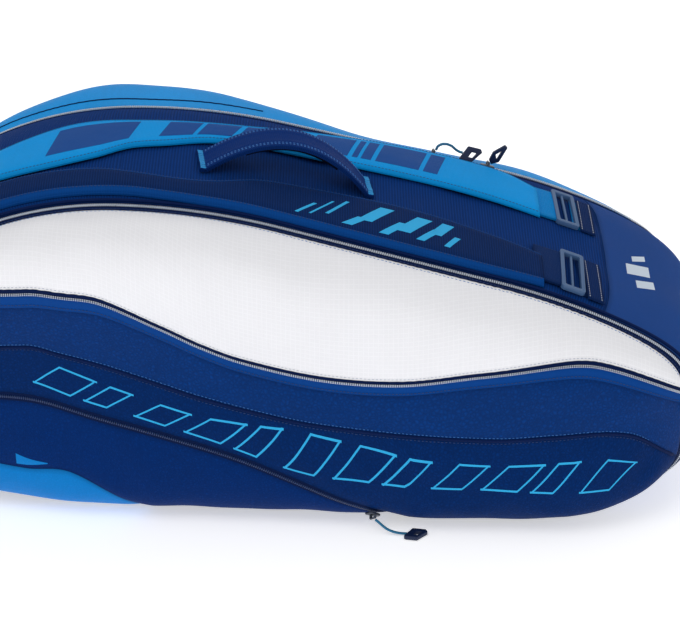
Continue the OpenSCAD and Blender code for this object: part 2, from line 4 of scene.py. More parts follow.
import bmesh
import bpy
import numpy as np
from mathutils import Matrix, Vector


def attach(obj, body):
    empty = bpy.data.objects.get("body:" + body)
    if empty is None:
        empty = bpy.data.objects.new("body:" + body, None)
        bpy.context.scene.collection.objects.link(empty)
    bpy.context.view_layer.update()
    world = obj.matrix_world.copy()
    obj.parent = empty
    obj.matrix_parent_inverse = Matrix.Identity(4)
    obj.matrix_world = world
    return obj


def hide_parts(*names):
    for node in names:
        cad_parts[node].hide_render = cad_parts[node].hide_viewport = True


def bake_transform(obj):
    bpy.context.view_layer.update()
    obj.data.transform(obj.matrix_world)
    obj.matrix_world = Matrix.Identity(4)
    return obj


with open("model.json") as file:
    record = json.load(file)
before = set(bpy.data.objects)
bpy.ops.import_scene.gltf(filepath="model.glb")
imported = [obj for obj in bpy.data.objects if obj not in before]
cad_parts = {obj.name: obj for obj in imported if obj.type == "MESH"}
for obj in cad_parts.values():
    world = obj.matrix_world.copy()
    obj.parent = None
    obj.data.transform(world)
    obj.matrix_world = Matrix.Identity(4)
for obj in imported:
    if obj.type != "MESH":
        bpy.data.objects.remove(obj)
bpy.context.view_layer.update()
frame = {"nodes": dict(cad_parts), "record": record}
nodes = frame["nodes"]
MM = 0.001


def linked(name, data):
    """New object in the scene."""
    obj = bpy.data.objects.new(name, data)
    bpy.context.collection.objects.link(obj)
    return obj


# ---------- camera ----------
LOOK_DOWN = 30.2346
camera = linked("camera", bpy.data.cameras.new("camera"))
camera.location = (0.05071, -2.07353, 1.34943)
camera.rotation_euler = (math.radians(90 - LOOK_DOWN), 0, 0)
camera.data.lens = 139.99
camera.data.sensor_width = 36
camera.data.clip_end = 30
bpy.context.scene.camera = camera

# ---------- skin of the bag, in millimetres ----------
BAG_LENGTH, HALF_W, SPINE_H = 750.0, 148.0, 293.6
SLOPE_ANGLE, ARCH_R = math.radians(15.25), 550.0
SLOPE = math.tan(SLOPE_ANGLE)
HEAD_LEN, TAIL_LEN = 237.0, 190.0
KEEL_X, KEEL_R, TAPER, SOLE_CUT = 240.0, 238.0, 0.0004, 1.2
CROWN = 4.0
BAND_T = 3.0
SPLIT_W = 100.0
SHELL_EDGE = SPLIT_W + 4.5
HEAD_X, TAIL_X = HEAD_LEN - BAG_LENGTH / 2, BAG_LENGTH / 2 - TAIL_LEN
SWELL = [[-375, 27], [-300, 27], [-120, 30], [80, 6], [375, 6]]


def flow(knots, x):
    """Smooth line through the knots."""
    k = np.array(knots, float)
    x = np.clip(x, k[0, 0], k[-1, 0])
    n = len(k)
    i = np.clip(np.searchsorted(k[:, 0], x, side="right") - 1, 0, n - 2)
    a, b = np.maximum(np.arange(n) - 1, 0), np.minimum(np.arange(n) + 1, n - 1)
    lean = (k[b, 1] - k[a, 1]) / (k[b, 0] - k[a, 0])
    h = k[i + 1, 0] - k[i, 0]
    s = (x - k[i, 0]) / h
    return (k[i, 1] * (1 + 2 * s) * (1 - s) ** 2 + k[i + 1, 1] * s * s * (3 - 2 * s)
            + h * (lean[i] * s * (1 - s) ** 2 - lean[i + 1] * s * s * (1 - s)))


def spine_z(x):
    arch = np.sqrt(np.maximum(ARCH_R**2 - (x + ARCH_R * math.sin(SLOPE_ANGLE)) ** 2, 0))
    return np.where(x > 0, SPINE_H - SLOPE * x, SPINE_H - ARCH_R * math.cos(SLOPE_ANGLE) + arch)


def keel_z(x):
    return KEEL_R - np.sqrt(KEEL_R**2 - np.clip(x - KEEL_X, 0, KEEL_R) ** 2)


def mid_z(x):
    return (spine_z(x) + keel_z(x)) / 2


def half_h(x, t):
    return (spine_z(x) - keel_z(x)) / 2 - t


def flare(x):
    return 1 + TAPER * x


def end_u(x, t):
    return np.maximum((HEAD_X - x) / (HEAD_LEN - t), 0) + np.maximum((x - TAIL_X) / (TAIL_LEN - t), 0)


def over(x, w, t=0.0):
    """Top of the bag at x and w, at depth t under the skin."""
    q = np.maximum(1 - end_u(x, t) ** 2 - (np.abs(w) / (HALF_W - t)) ** 4, 0)
    z = mid_z(x) - SOLE_CUT + half_h(x, t) * q ** (1 / CROWN)
    return np.stack(np.broadcast_arrays(x, w * flare(x), z), -1)


def loop(s, w, t=0.0):
    """Round the bag lengthwise: s is -1 to 1 along the spine and 3 to 5 along the base."""
    s, w = np.broadcast_arrays(np.asarray(s, float), np.asarray(w, float))
    e = np.sqrt(np.maximum(1 - (np.abs(w) / (HALF_W - t)) ** 4, 0))
    a = np.where(s < -1, -(s + 1), np.where(s <= 1, 0, np.where(s < 3, s - 1, 2))) * math.pi / 2
    x = np.where(s < 3, TAIL_X + (TAIL_LEN - t) * e * np.sin(a), TAIL_X + (HEAD_X - TAIL_X) * (s - 3) / 2)
    x = np.where(s <= 1, HEAD_X + (TAIL_X - HEAD_X) * (s + 1) / 2, x)
    x = np.where(s < -1, HEAD_X - (HEAD_LEN - t) * e * np.sin(a), x)
    c = e * np.cos(a)
    v = np.where(c >= 0, np.abs(c) ** (2 / CROWN), -(np.abs(c) ** (1 / 3)))
    return np.stack([x, w * flare(x), np.maximum(mid_z(x) + half_h(x, t) * v - SOLE_CUT, t)], -1)


def turn_z(x, z):
    """Angle round the front for a height z."""
    v = (z + SOLE_CUT - mid_z(x)) / half_h(x, 0)
    e = np.sqrt(np.maximum(1e-6, 1 - end_u(x, 0) ** 2))
    return np.where(v > 0, np.arcsin(np.minimum(1, np.abs(v) ** (CROWN / 2) / e)),
                    -np.arcsin(np.minimum(1, np.abs(v) ** 3 / e)))


def turn_w(x, w):
    """Angle round the front for a distance w from the middle."""
    return np.arccos(np.minimum(1, (w / HALF_W) ** 2 / np.sqrt(np.maximum(1e-6, 1 - end_u(x, 0) ** 2))))


def swell(x, f):
    top = np.maximum(turn_w(x, SHELL_EDGE), 1e-3)
    room = np.sqrt(np.maximum(0, 1 - end_u(x, 0) ** 2))
    return flow(SWELL, x) * room * np.sin(math.pi * np.clip(f / top, 0, 1))


def round_front(x, f, t=0.0):
    """Side of the bag at x and angle f round the front, at depth t."""
    t = t - swell(x, f)
    e = np.maximum(0, 1 - end_u(x, t) ** 2)
    c = np.sqrt(e) * np.sin(f)
    v = np.where(f > 0, np.abs(c) ** (2 / CROWN), -(np.abs(c) ** (1 / 3)))
    y = -(HALF_W - t) * e**0.25 * np.sqrt(np.cos(f)) * flare(x)
    return np.stack(np.broadcast_arrays(x, y, mid_z(x) + half_h(x, t) * v - SOLE_CUT), -1)


def front(x, z, t=0.0):
    return round_front(x, turn_z(x, z), t)


def srgb(r, g, b):
    """Linear colour of an 8-bit display colour."""
    return [c / 12.92 if c <= 0.04045 else ((c + 0.055) / 1.055) ** 2.4 for c in (r / 255, g / 255, b / 255)]


# ---------- cords, first, so that they are measured as they hang ----------
CORD_D = 2.4
ROUTES = {
    "rear_left": ("loose", [
        (139.2, 107, 254.6), (140.5, 107.4, 258.2), (144.5, 108.3, 260), (149.5, 109.8, 259.2),
        (154, 112, 256), (157.5, 114, 251.5), (161, 115.3, 248.4), (164, 116, 247.3)]),
    "front": ("hanging", [
        (-340.7, -89.7, 222.3), (-345.5, -89.7, 220.5), (-350, -89.7, 216.2), (-353.5, -89.7, 210.5),
        (-355.5, -89.7, 204), (-356.6, -89.7, 197.5), (-357.2, -89.7, 191)]),
    "pocket": ("hanging", [
        (-293.6, -135.6, 214.2), (-293.6, -137.4, 210.5), (-293.6, -138, 205), (-293.6, -138, 199),
        (-293.6, -137.5, 193), (-293.6, -136.5, 187), (-293.6, -136, 181.5)]),
    "diagonal": ("loose", [
        (82, -144.6, 15.8), (85.5, -145.5, 13), (89, -146, 9.5), (93, -146.3, 6.3),
        (98, -146.5, 4), (103, -146.6, 2.8), (107, -146.7, 2.4), (110, -146.7, 2.3)]),
}


def measure(points):
    """Length along a line of points, at each of them."""
    return np.concatenate([[0], np.cumsum(np.linalg.norm(np.diff(points, axis=0), axis=1))])


def evenly(points, count):
    """Evenly spaced points on a line of points, with its length."""
    s = measure(points)
    even = np.linspace(0, s[-1], count)
    return np.stack([np.interp(even, s, points[:, k]) for k in range(3)], -1), s[-1]


def along(points, count):
    """Evenly spaced points on a smooth line through the points, with their total length."""
    lines = evenly(np.array(points, float), 200)[0]
    for _ in range(60):
        lines[1:-1] = (lines[:-2] + 2 * lines[1:-1] + lines[2:]) / 4
    return evenly(lines, count)


def rope(name, points, diameter):
    """Round cord along the points, in millimetres, as a curve."""
    line, length = along(points, 25)
    data = bpy.data.curves.new(name, "CURVE")
    data.dimensions = "3D"
    data.bevel_depth = diameter / 2 * MM
    data.bevel_resolution = 4
    data.use_fill_caps = True
    spline = data.splines.new("POLY")
    spline.points.add(len(line) - 1)
    for point, place in zip(spline.points, line):
        point.co = (*(place * MM), 1)
    return linked(name, data), length, line


# ---------- materials ----------
class Paint:
    """One material, built from its node graph."""

    def __init__(self, name):
        self.material = bpy.data.materials.new(name)
        self.material.use_nodes = True
        self.tree = self.material.node_tree
        self.shader = self.tree.nodes["Principled BSDF"]

    def put(self, socket, value):
        if isinstance(value, bpy.types.NodeSocket):
            self.tree.links.new(value, socket)
        else:
            socket.default_value = value

    def calc(self, operation, a, b=0.0, c=0.0):
        node = self.tree.nodes.new("ShaderNodeMath")
        node.operation = operation
        for socket, value in zip(node.inputs, (a, b, c)):
            self.put(socket, value)
        return node.outputs[0]

    def mul(self, a, b):
        return self.calc("MULTIPLY", a, b)

    def scaled(self, value, by, start):
        """value * by + start"""
        return self.calc("MULTIPLY_ADD", value, by, start)

    def place(self, layer):
        """Position in metres: on the cloth when there is a layer, else in the piece."""
        if layer:
            node = self.tree.nodes.new("ShaderNodeUVMap")
            node.uv_map = layer
            return node.outputs[0]
        return self.tree.nodes.new("ShaderNodeTexCoord").outputs["Object"]

    def split(self, vector):
        node = self.tree.nodes.new("ShaderNodeSeparateXYZ")
        self.put(node.inputs[0], vector)
        return node.outputs[0], node.outputs[1], node.outputs[2]

    def noise(self, vector, size, detail=3.0, stretch=(1, 1, 1)):
        scale = self.tree.nodes.new("ShaderNodeVectorMath")
        scale.operation = "MULTIPLY"
        self.put(scale.inputs[0], vector)
        scale.inputs[1].default_value = stretch
        node = self.tree.nodes.new("ShaderNodeTexNoise")
        self.put(node.inputs["Vector"], scale.outputs[0])
        node.inputs["Scale"].default_value = 1 / size
        node.inputs["Detail"].default_value = detail
        return node.outputs[0]

    def cells(self, vector, size):
        node = self.tree.nodes.new("ShaderNodeTexVoronoi")
        node.feature = "DISTANCE_TO_EDGE"
        self.put(node.inputs["Vector"], vector)
        node.inputs["Scale"].default_value = 1 / size
        return node.outputs["Distance"]

    def tint(self, colour, factor):
        """The colour times the factor, which may be a socket."""
        node = self.tree.nodes.new("ShaderNodeVectorMath")
        node.operation = "SCALE"
        node.inputs[0].default_value = colour
        self.put(node.inputs["Scale"], factor)
        return node.outputs[0]

    def bump(self, height, depth, under=None):
        node = self.tree.nodes.new("ShaderNodeBump")
        node.inputs["Strength"].default_value = 1.0
        node.inputs["Distance"].default_value = depth
        self.put(node.inputs["Height"], height)
        if under is not None:
            self.put(node.inputs["Normal"], under)
        return node.outputs[0]

    def finish(self, colour, rough, normal=None, **constants):
        self.put(self.shader.inputs["Base Color"], colour)
        self.put(self.shader.inputs["Roughness"], rough)
        if normal is not None:
            self.put(self.shader.inputs["Normal"], normal)
        for name, value in constants.items():
            self.shader.inputs[name.replace("_", " ")].default_value = value
        return self.material


def weave_height(p, where, weave, pitch):
    """Height of the weave, from 0 to 1, at a position in metres."""
    u, v, w = p.split(where)
    turn = 2 * math.pi / pitch

    def wave(x, k=1.0):
        return p.scaled(p.calc("SINE", p.mul(x, turn * k)), 0.5, 0.5)

    if weave == "rib":
        thread = wave(v, 1.6)
        return p.scaled(thread, 0.3, p.mul(wave(u), 0.7))
    if weave == "twill":
        return p.scaled(wave(p.calc("ADD", u, v)), 0.75, p.mul(wave(u, 2), 0.25))
    if weave == "web":
        rows = p.calc("PINGPONG", p.scaled(v, 1 / pitch, 40.0), 0.5)
        rung = p.mul(wave(p.calc("ADD", u, p.mul(rows, pitch * 0.8)), 1.3), 0.6)
        return p.scaled(rows, 0.8, rung)
    if weave == "ripstop":
        cord, sharp = 0.26, 16.0
        cell = p.calc("MAXIMUM", p.calc("POWER", wave(u, cord), sharp), p.calc("POWER", wave(v, cord), sharp))
        return p.scaled(cell, 0.6, p.mul(p.mul(wave(u), wave(v)), 0.4))
    if weave == "grain":
        vein = p.calc("MINIMUM", p.mul(p.cells(where, pitch), 2.0), 1.0)
        return p.scaled(p.noise(where, pitch * 0.6), 0.45, p.mul(vein, 0.55))
    if weave == "padding":
        return p.scaled(p.cells(where, pitch), 0.9, 0.1)
    return p.mul(wave(p.calc("ADD", u, w)), wave(v))


def cloth(name, rgb, weave="plain", pitch=0.8, depth=0.12, rough=0.72, valley_shade=0.25, mottle=0.07,
          layer="cloth", seam=0.7, wear=0.1, **constants):
    """Woven or coated fabric; pitch and depth of the weave are in millimetres."""
    p = Paint(name)
    where = p.place(layer)
    height = weave_height(p, where, weave, pitch * MM)
    dusty = p.noise(where, 0.06, 4)
    thread = p.noise(where, 0.004, 2, (1, 0.25, 1))
    # Painted shade: the colour is darker in the weave's low valleys, by valley_shade.
    factor = p.scaled(height, valley_shade, 1 - valley_shade)
    factor = p.mul(factor, p.scaled(dusty, 2 * mottle, 1 - mottle))
    factor = p.mul(factor, p.scaled(thread, mottle, 1 - mottle / 2))
    # Painted shade along the seams: the colour falls to the seam factor at a panel's edge (edge 0) and is
    # full 5 mm in; wear adds a lighter worn band just inside.
    if layer:
        edge = p.tree.nodes.new("ShaderNodeAttribute")
        edge.attribute_name = "edge"
        near = edge.outputs["Fac"]
        factor = p.mul(factor, p.scaled(near, 1 - seam, seam))
        ridge = p.mul(near, p.calc("SUBTRACT", 1.0, near))
        factor = p.scaled(p.mul(ridge, dusty), wear, factor)
    soft = p.bump(p.noise(where, 0.018, 2), 0.35 * MM)
    normal = p.bump(height, depth * MM, soft)
    roughness = p.scaled(dusty, 0.12, rough - 0.06)
    options = {"Specular_IOR_Level": 0.07, "Sheen_Weight": 0.0, "Sheen_Roughness": 0.4}
    options.update(constants)
    return p.finish(p.tint(srgb(*rgb), factor), roughness, normal, **options)


def moulded(name, rgb, rough=0.42, metal=0.0, grain=0.05, speck=0.1, **constants):
    """Moulded or painted hard surface with faint grain and rubbed patches."""
    p = Paint(name)
    where = p.place(None)
    fine = p.noise(where, 0.0006, 2)
    patch = p.noise(where, 0.009, 4)
    factor = p.scaled(patch, 2 * speck, 1 - speck)
    normal = p.bump(fine, grain * MM)
    roughness = p.scaled(patch, 0.2, rough - 0.1)
    return p.finish(p.tint(srgb(*rgb), factor), roughness, normal, Metallic=metal, **constants)


# seam= in each cloth sets how dark the painted shade along its panels' seams gets.
M = {
    "white": cloth("white_ripstop", (250, 250, 254), "ripstop", 1.1, 0.14, 0.5, 0.08, 0.025, seam=0.82,
                   wear=0.0, Specular_IOR_Level=0.3),
    "royal": cloth("royal_grain", (0, 62, 140), "grain", 3.4, 0.5, 0.55, 0.62, 0.14, Specular_IOR_Level=0.06),
    "pocket": cloth("pocket_grain", (0, 50, 118), "grain", 3.0, 0.4, 0.6, 0.6, 0.14, Specular_IOR_Level=0.04),
    "corner": cloth("corner_grain", (0, 52, 126), "grain", 2.6, 0.32, 0.6, 0.55, 0.12,
                    Specular_IOR_Level=0.04),
    "accent": cloth("accent_grain", (2, 132, 214), "grain", 2.0, 0.2, 0.5, 0.2, 0.08),
    "spine": cloth("spine_rib", (8, 58, 130), "rib", 2.6, 0.5, 0.8, 0.5, 0.12),
    "end": cloth("end_twill", (36, 80, 156), "twill", 1.9, 0.3, 0.75, 0.4, 0.1),
    "base": cloth("base_weave", (20, 26, 40), "twill", 1.4, 0.25, 0.85, 0.3, 0.1),
    "strap": cloth("strap_rib", (8, 46, 104), "rib", 2.2, 0.4, 0.75, 0.5, 0.12),
    "binding": cloth("binding_rib", (0, 70, 146), "rib", 1.4, 0.16, 0.66, 0.25, 0.07, seam=0.85),
    "navy_tape": cloth("navy_tape", (8, 30, 76), "twill", 1.1, 0.14, 0.75, 0.3, 0.08, seam=0.85),
    "blue_tape": cloth("blue_tape", (6, 70, 150), "twill", 1.1, 0.14, 0.7, 0.25, 0.08, seam=0.85),
    "cyan_strap": cloth("cyan_strap", (2, 162, 244), "plain", 1.2, 0.14, 0.55, 0.2, 0.08, seam=0.8),
    "cyan": cloth("cyan_panel", (10, 156, 238), "grain", 1.8, 0.16, 0.5, 0.2, 0.1, Specular_IOR_Level=0.2),
    # Near-black air mesh; under the far strap its dark colour is also a painted shadow.
    "mesh": cloth("air_mesh", (10, 22, 48), "padding", 2.6, 0.9, 0.85, 0.5, 0.06),
    "web": cloth("handle_web", (0, 52, 128), "web", 2.2, 0.4, 0.7, 0.45, 0.1, seam=0.75),
    "navy_web": cloth("navy_web", (10, 48, 106), "web", 2.0, 0.35, 0.7, 0.4, 0.08, seam=0.75),
    "cyan_web": cloth("cyan_web", (6, 142, 222), "web", 2.0, 0.35, 0.66, 0.3, 0.08, seam=0.8),
    "patch": cloth("anchor_patch", (8, 44, 100), "rib", 1.8, 0.3, 0.75, 0.4, 0.1),
    "lining": cloth("lining_weave", (52, 60, 78), "plain", 0.9, 0.1, 0.6, 0.25, 0.08),
    "foil": cloth("foil_lining", (196, 200, 208), "ripstop", 1.2, 0.12, 0.34, 0.15, 0.08, Metallic=0.75,
                  Specular_IOR_Level=0.5),
    "divider": cloth("divider_weave", (60, 68, 88), "twill", 1.4, 0.2, 0.8, 0.3, 0.08),
    "film": cloth("transfer_film", (50, 178, 236), "plain", 0.8, 0.05, 0.4, 0.06, 0.06, wear=0.0),
    "deep_film": cloth("deep_film", (4, 74, 150), "plain", 0.8, 0.05, 0.42, 0.08, 0.06, wear=0.0),
    "pale_film": cloth("pale_film", (214, 226, 240), "plain", 0.8, 0.05, 0.35, 0.06, 0.06, wear=0.0),
    "piping": cloth("piping", (5, 30, 80), "twill", 0.9, 0.12, 0.6, 0.25, 0.07, layer=None),
    "silver": moulded("coil_silver", (206, 214, 226), 0.34, 0.0, 0.02, Specular_IOR_Level=0.6),
    "dark_coil": moulded("coil_dark", (26, 52, 100), 0.4, 0.0, 0.02),
    "thread": moulded("thread", (52, 116, 190), 0.6, 0.0, 0.05),
    "dark_thread": moulded("dark_thread", (16, 48, 100), 0.65, 0.0, 0.05),
    "grey_thread": moulded("grey_thread", (186, 192, 204), 0.65, 0.0, 0.05),
    "cyan_thread": moulded("cyan_thread", (30, 150, 215), 0.6, 0.0, 0.05),
    "buckle": moulded("buckle", (66, 98, 140), 0.4, 0.0, 0.06, Specular_IOR_Level=0.45),
    "slider": moulded("slider", (70, 76, 88), 0.34, 0.85, 0.03, 0.2),
    "rubber": moulded("rubber", (16, 34, 70), 0.5, 0.0, 0.08, Specular_IOR_Level=0.35),
    "cord": moulded("cord", (24, 110, 150), 0.7, 0.0, 0.35, 0.2),
}


# ---------- meshes ----------
def finished(name, mesh, material, sharp=None):
    """Object with one material and smooth shading; sharp is the angle of its hard edges."""
    mesh.materials.clear()
    mesh.materials.append(material)
    mesh.polygons.foreach_set("material_index", [0] * len(mesh.polygons))
    mesh.polygons.foreach_set("use_smooth", [True] * len(mesh.polygons))
    if sharp:
        mesh.set_sharp_from_angle(angle=math.radians(sharp))
    return linked(name, mesh)


def mesh_object(name, points, faces, material, uv=None, edge=None, sharp=40):
    """Smooth-shaded mesh from points in millimetres."""
    mesh = bpy.data.meshes.new(name)
    mesh.from_pydata((np.asarray(points) * MM).tolist(), [], [tuple(f) for f in np.asarray(faces).tolist()])
    if uv is not None:
        corners = np.zeros(len(mesh.loops), int)
        mesh.loops.foreach_get("vertex_index", corners)
        layer = mesh.uv_layers.new(name="cloth")
        layer.data.foreach_set("uv", (np.asarray(uv)[corners] * MM).astype(np.float32).ravel())
    if edge is not None:
        values = mesh.attributes.new("edge", "FLOAT", "POINT")
        values.data.foreach_set("value", np.asarray(edge, np.float32))
    return finished(name, mesh, material, sharp)


def slab(n, m):
    """Quads of a closed sheet with an outer and an inner n by m grid."""
    i, j = np.meshgrid(np.arange(n - 1), np.arange(m - 1), indexing="ij")
    a = (i * m + j).ravel()
    top = np.stack([a, a + m, a + m + 1, a + 1], -1)
    low = top[:, ::-1] + n * m
    i, j, k = np.arange(n - 1) * m, np.arange(m - 1), n * m
    far = (n - 1) * m
    sides = [
        np.stack([i, k + i, k + i + m, i + m], -1),
        np.stack([i + m - 1, i + 2 * m - 1, k + i + 2 * m - 1, k + i + m - 1], -1),
        np.stack([j, j + 1, k + j + 1, k + j], -1),
        np.stack([far + j, k + far + j, k + far + j + 1, far + j + 1], -1),
    ]
    return np.concatenate([top, low, *sides])


def ripple(u, v, seed, size):
    """Smooth random field of about unit height."""
    rng = np.random.default_rng(seed)
    total = 0.0
    for turn, stretch, phase in rng.uniform((0, 0.7, 0), (math.pi, 1.6, 6.3), (7, 3)):
        k = 2 * math.pi / (size * stretch)
        total = total + np.sin(k * (u * math.cos(turn) + v * math.sin(turn)) + phase)
    return total / 2.6


def rounded(edge, rise, reach):
    """Relief that goes from edge at the panel's edges to edge + rise inside, within about the reach."""
    return lambda u, low, high: edge + rise * (1 - np.exp(-low / reach)) * (1 - np.exp(-high / reach))


def crown(rise, reach):
    """Relief that falls off to the panel's edges."""
    return rounded(0.0, rise, reach)


def folds(height, size, seed):
    """Soft folds that fade out at the seams."""
    return lambda u, low, high: height * ripple(u, low, seed, size) * (1 - np.exp(-low / 14)) * (
        1 - np.exp(-high / 14))


def puckers(height, pitch, reach, side, seed):
    """Fine gathers beside a sewn edge: side 0 is the low edge, 1 the high one."""
    def relief(u, low, high):
        d = high if side else low
        swing = np.sin(2 * math.pi * u / pitch + 2.4 * ripple(u, 0 * u, seed, pitch * 6))
        strong = 0.65 + 0.35 * ripple(u, 0 * u, seed + 1, pitch * 9)
        return height * swing * strong * np.exp(-d / reach) * (1 - np.exp(-d / 1.2))
    return relief


def add(*reliefs):
    return lambda u, low, high: sum(r(u, low, high) for r in reliefs)


def flat(u, low, high):
    return 0 * u + 0 * low


def level(value):
    """Relief of one height all over."""
    return lambda u, low, high: value + 0 * (u + low)


def const(value):
    return lambda a: value + 0 * a


MIRROR = np.array([1, -1, 1])


class Panel:
    """Piece of cloth that lies on a surface between two edges, from station a0 to a1.
    Rows are even over the cloth; warp is the power that spreads samples where the surface is steep."""

    def __init__(self, surface, a0, a1, low, high, relief=flat, mirror=False, stations=90, warp=1):
        self.surface, self.low, self.high, self.relief, self.mirror = surface, low, high, relief, mirror
        self.a0, self.a1, self.warp = a0, a1, warp
        g = self.stations = stations if np.ndim(stations) else np.linspace(a0, a1, stations)
        first, last = self.bend(low(g) + 0.0 * g), self.bend(high(g) + 0.0 * g)
        t = first[:, None] + (last - first)[:, None] * np.linspace(0, 1, 121)
        p = surface(g[:, None], self.unbend(t), 0.0)
        arc = np.array([measure(row) for row in p])
        self.tall = arc[:, -1]
        self.q = np.linspace(0, 1, 65)
        self.table = np.array([np.interp(self.q * s[-1], s, row) for s, row in zip(arc, t)])
        self.run = measure(p[:, 60])

    def bend(self, b):
        return np.sign(b) * np.abs(b) ** (1 / self.warp)

    def unbend(self, t):
        return np.sign(t) * np.abs(t) ** self.warp

    def across(self, a, q):
        """Place across the surface at station a and q of the way over the cloth."""
        a, q = np.broadcast_arrays(a, q)
        i = np.interp(a, self.stations, np.arange(len(self.stations)))
        i0 = np.minimum(i.astype(int), len(self.stations) - 2)
        k = q * (len(self.q) - 1)
        k0 = np.clip(np.floor(k).astype(int), 0, len(self.q) - 2)
        i, k = i - i0, k - k0
        t = ((1 - i) * ((1 - k) * self.table[i0, k0] + k * self.table[i0, k0 + 1])
             + i * ((1 - k) * self.table[i0 + 1, k0] + k * self.table[i0 + 1, k0 + 1]))
        return self.unbend(t)

    def q_of(self, a, b):
        """How far over the cloth the place b is at station a, from 0 to 1."""
        i = np.interp(a, self.stations, np.arange(len(self.stations)))
        i0 = min(int(i), len(self.stations) - 2)
        row = (1 - i + i0) * self.table[i0] + (i - i0) * self.table[i0 + 1]
        return float(np.interp(self.bend(b), row, self.q))

    def point(self, a, q, lift=0.0, plain=False):
        """Outer point at station a and q from 0 to 1 across, raised by lift."""
        tall = np.interp(a, self.stations, self.tall)
        rise = lift if plain else lift + self.relief(np.interp(a, self.stations, self.run), q * tall,
                                                     (1 - q) * tall)
        p = self.surface(a, self.across(a, q), -rise)
        return p * MIRROR if self.mirror else p

    def sheet(self, name, outer, inner, material, uv, edge):
        """Closed mesh from an outer and an inner grid of points."""
        faces = slab(*outer.shape[:2])
        if self.mirror:
            faces = faces[:, ::-1]
        points = np.concatenate([outer.reshape(-1, 3), inner.reshape(-1, 3)])
        return mesh_object(name, points, faces, material, np.concatenate([uv, uv]),
                           np.concatenate([edge, edge]))

    def build(self, name, body, replaced, material, thick=1.6, columns=240, rows=40,
              slot=None, under=None, fill=None):
        """Closed sheet of the given thickness, or with a smooth underside raised by under."""
        g = self.stations
        a = np.interp(np.linspace(0, self.run[-1], columns), self.run, g)[:, None]
        a, q = np.broadcast_arrays(a, np.linspace(0, 1, rows)[None, :])
        outer = self.point(a, q)
        inner = self.point(a, q, -thick) if under is None else self.point(a, q, under, plain=True)
        tall = np.interp(a, g, self.tall)
        u = np.interp(a, g, self.run)
        uv = np.stack([u, q * tall], -1).reshape(-1, 2)
        ends = np.minimum(u, self.run[-1] - u)
        d = np.minimum(np.minimum(q * tall, (1 - q) * tall), ends).reshape(-1)
        # edge runs from 0 at the panel's border to 1 at 5 mm in; the cloth paint uses it for painted shade
        # along the seams.
        edge = np.clip(d / 5, 0, 1)
        obj = self.sheet(name, outer, inner, material, uv, edge)
        return settle(obj, body, replaced, slot)


def settle(obj, body, replaced=(), slot=None):
    if body:
        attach(obj, body)
    if replaced:
        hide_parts(*replaced)
        slot = slot or slots[replaced[0]]
    return obj


slots = {s["node"]: s["material_slot"] for s in frame["record"]["subparts"]}


def block(length, width, height, taper=0.7):
    """Small raised block: 12 points and its faces, centred on its base."""
    l, w = length / 2, width / 2
    ring = [(-l, 0), (-l * 0.7, -w), (l * 0.7, -w), (l, 0), (l * 0.7, w), (-l * 0.7, w)]
    low = [(x, y, 0.0) for x, y in ring]
    top = [(x * taper, y * taper, height) for x, y in ring]
    faces = [[i, (i + 1) % 6, 6 + (i + 1) % 6, 6 + i] for i in range(6)]
    faces += [[6, 7, 8, 9], [6, 9, 10, 11], [3, 2, 1, 0], [5, 4, 3, 0]]
    return np.array(low + top), np.array(faces)


def scatter(name, body, spots, ways, ups, template, material, slot):
    """Copies of a small block at the spots, lying along the ways with their tops up."""
    shape, quads = template
    x = ways / np.linalg.norm(ways, axis=1, keepdims=True)
    y = np.cross(ups, x)
    y /= np.linalg.norm(y, axis=1, keepdims=True)
    z = np.cross(x, y)
    points = (spots[:, None] + shape[None, :, :1] * x[:, None] + shape[None, :, 1:2] * y[:, None]
              + shape[None, :, 2:] * z[:, None])
    faces = quads[None] + (np.arange(len(spots)) * len(shape))[:, None, None]
    obj = mesh_object(name, points.reshape(-1, 3), faces.reshape(-1, 4), material, sharp=70)
    return settle(obj, body, (), slot)


def walk(line, pitch):
    """Spots, ways and outward directions at even steps along line(t, lift), t from 0 to 1."""
    t = np.linspace(0, 1, 900)
    s = measure(line(t, 0.0))
    even = (np.arange(int(s[-1] / pitch)) + 0.5) * s[-1] / max(int(s[-1] / pitch), 1)
    t_even = np.interp(even, s, t)
    spots = line(t_even, 0.0)
    ways = line(np.minimum(t_even + 1e-3, 1), 0.0) - line(np.maximum(t_even - 1e-3, 0), 0.0)
    ups = line(t_even, 1.0) - spots
    return spots, ways, ups


def stitches(name, body, line, material, slot, pitch=3.4, size=(2.5, 0.8, 0.45), sink=0.12):
    spots, ways, ups = walk(lambda t, lift: line(t, lift - sink), pitch)
    return scatter(name, body, spots, ways, ups, block(*size, 0.6), material, slot)


def teeth(name, body, line, material, slot, pitch=1.9, reach=1.6):
    """Half of a zip: its teeth lie across the line."""
    spots, ways, ups = walk(line, pitch)
    return scatter(name, body, spots, np.cross(ups, ways), ups, block(reach, 1.2, 1.15, 0.75), material, slot)


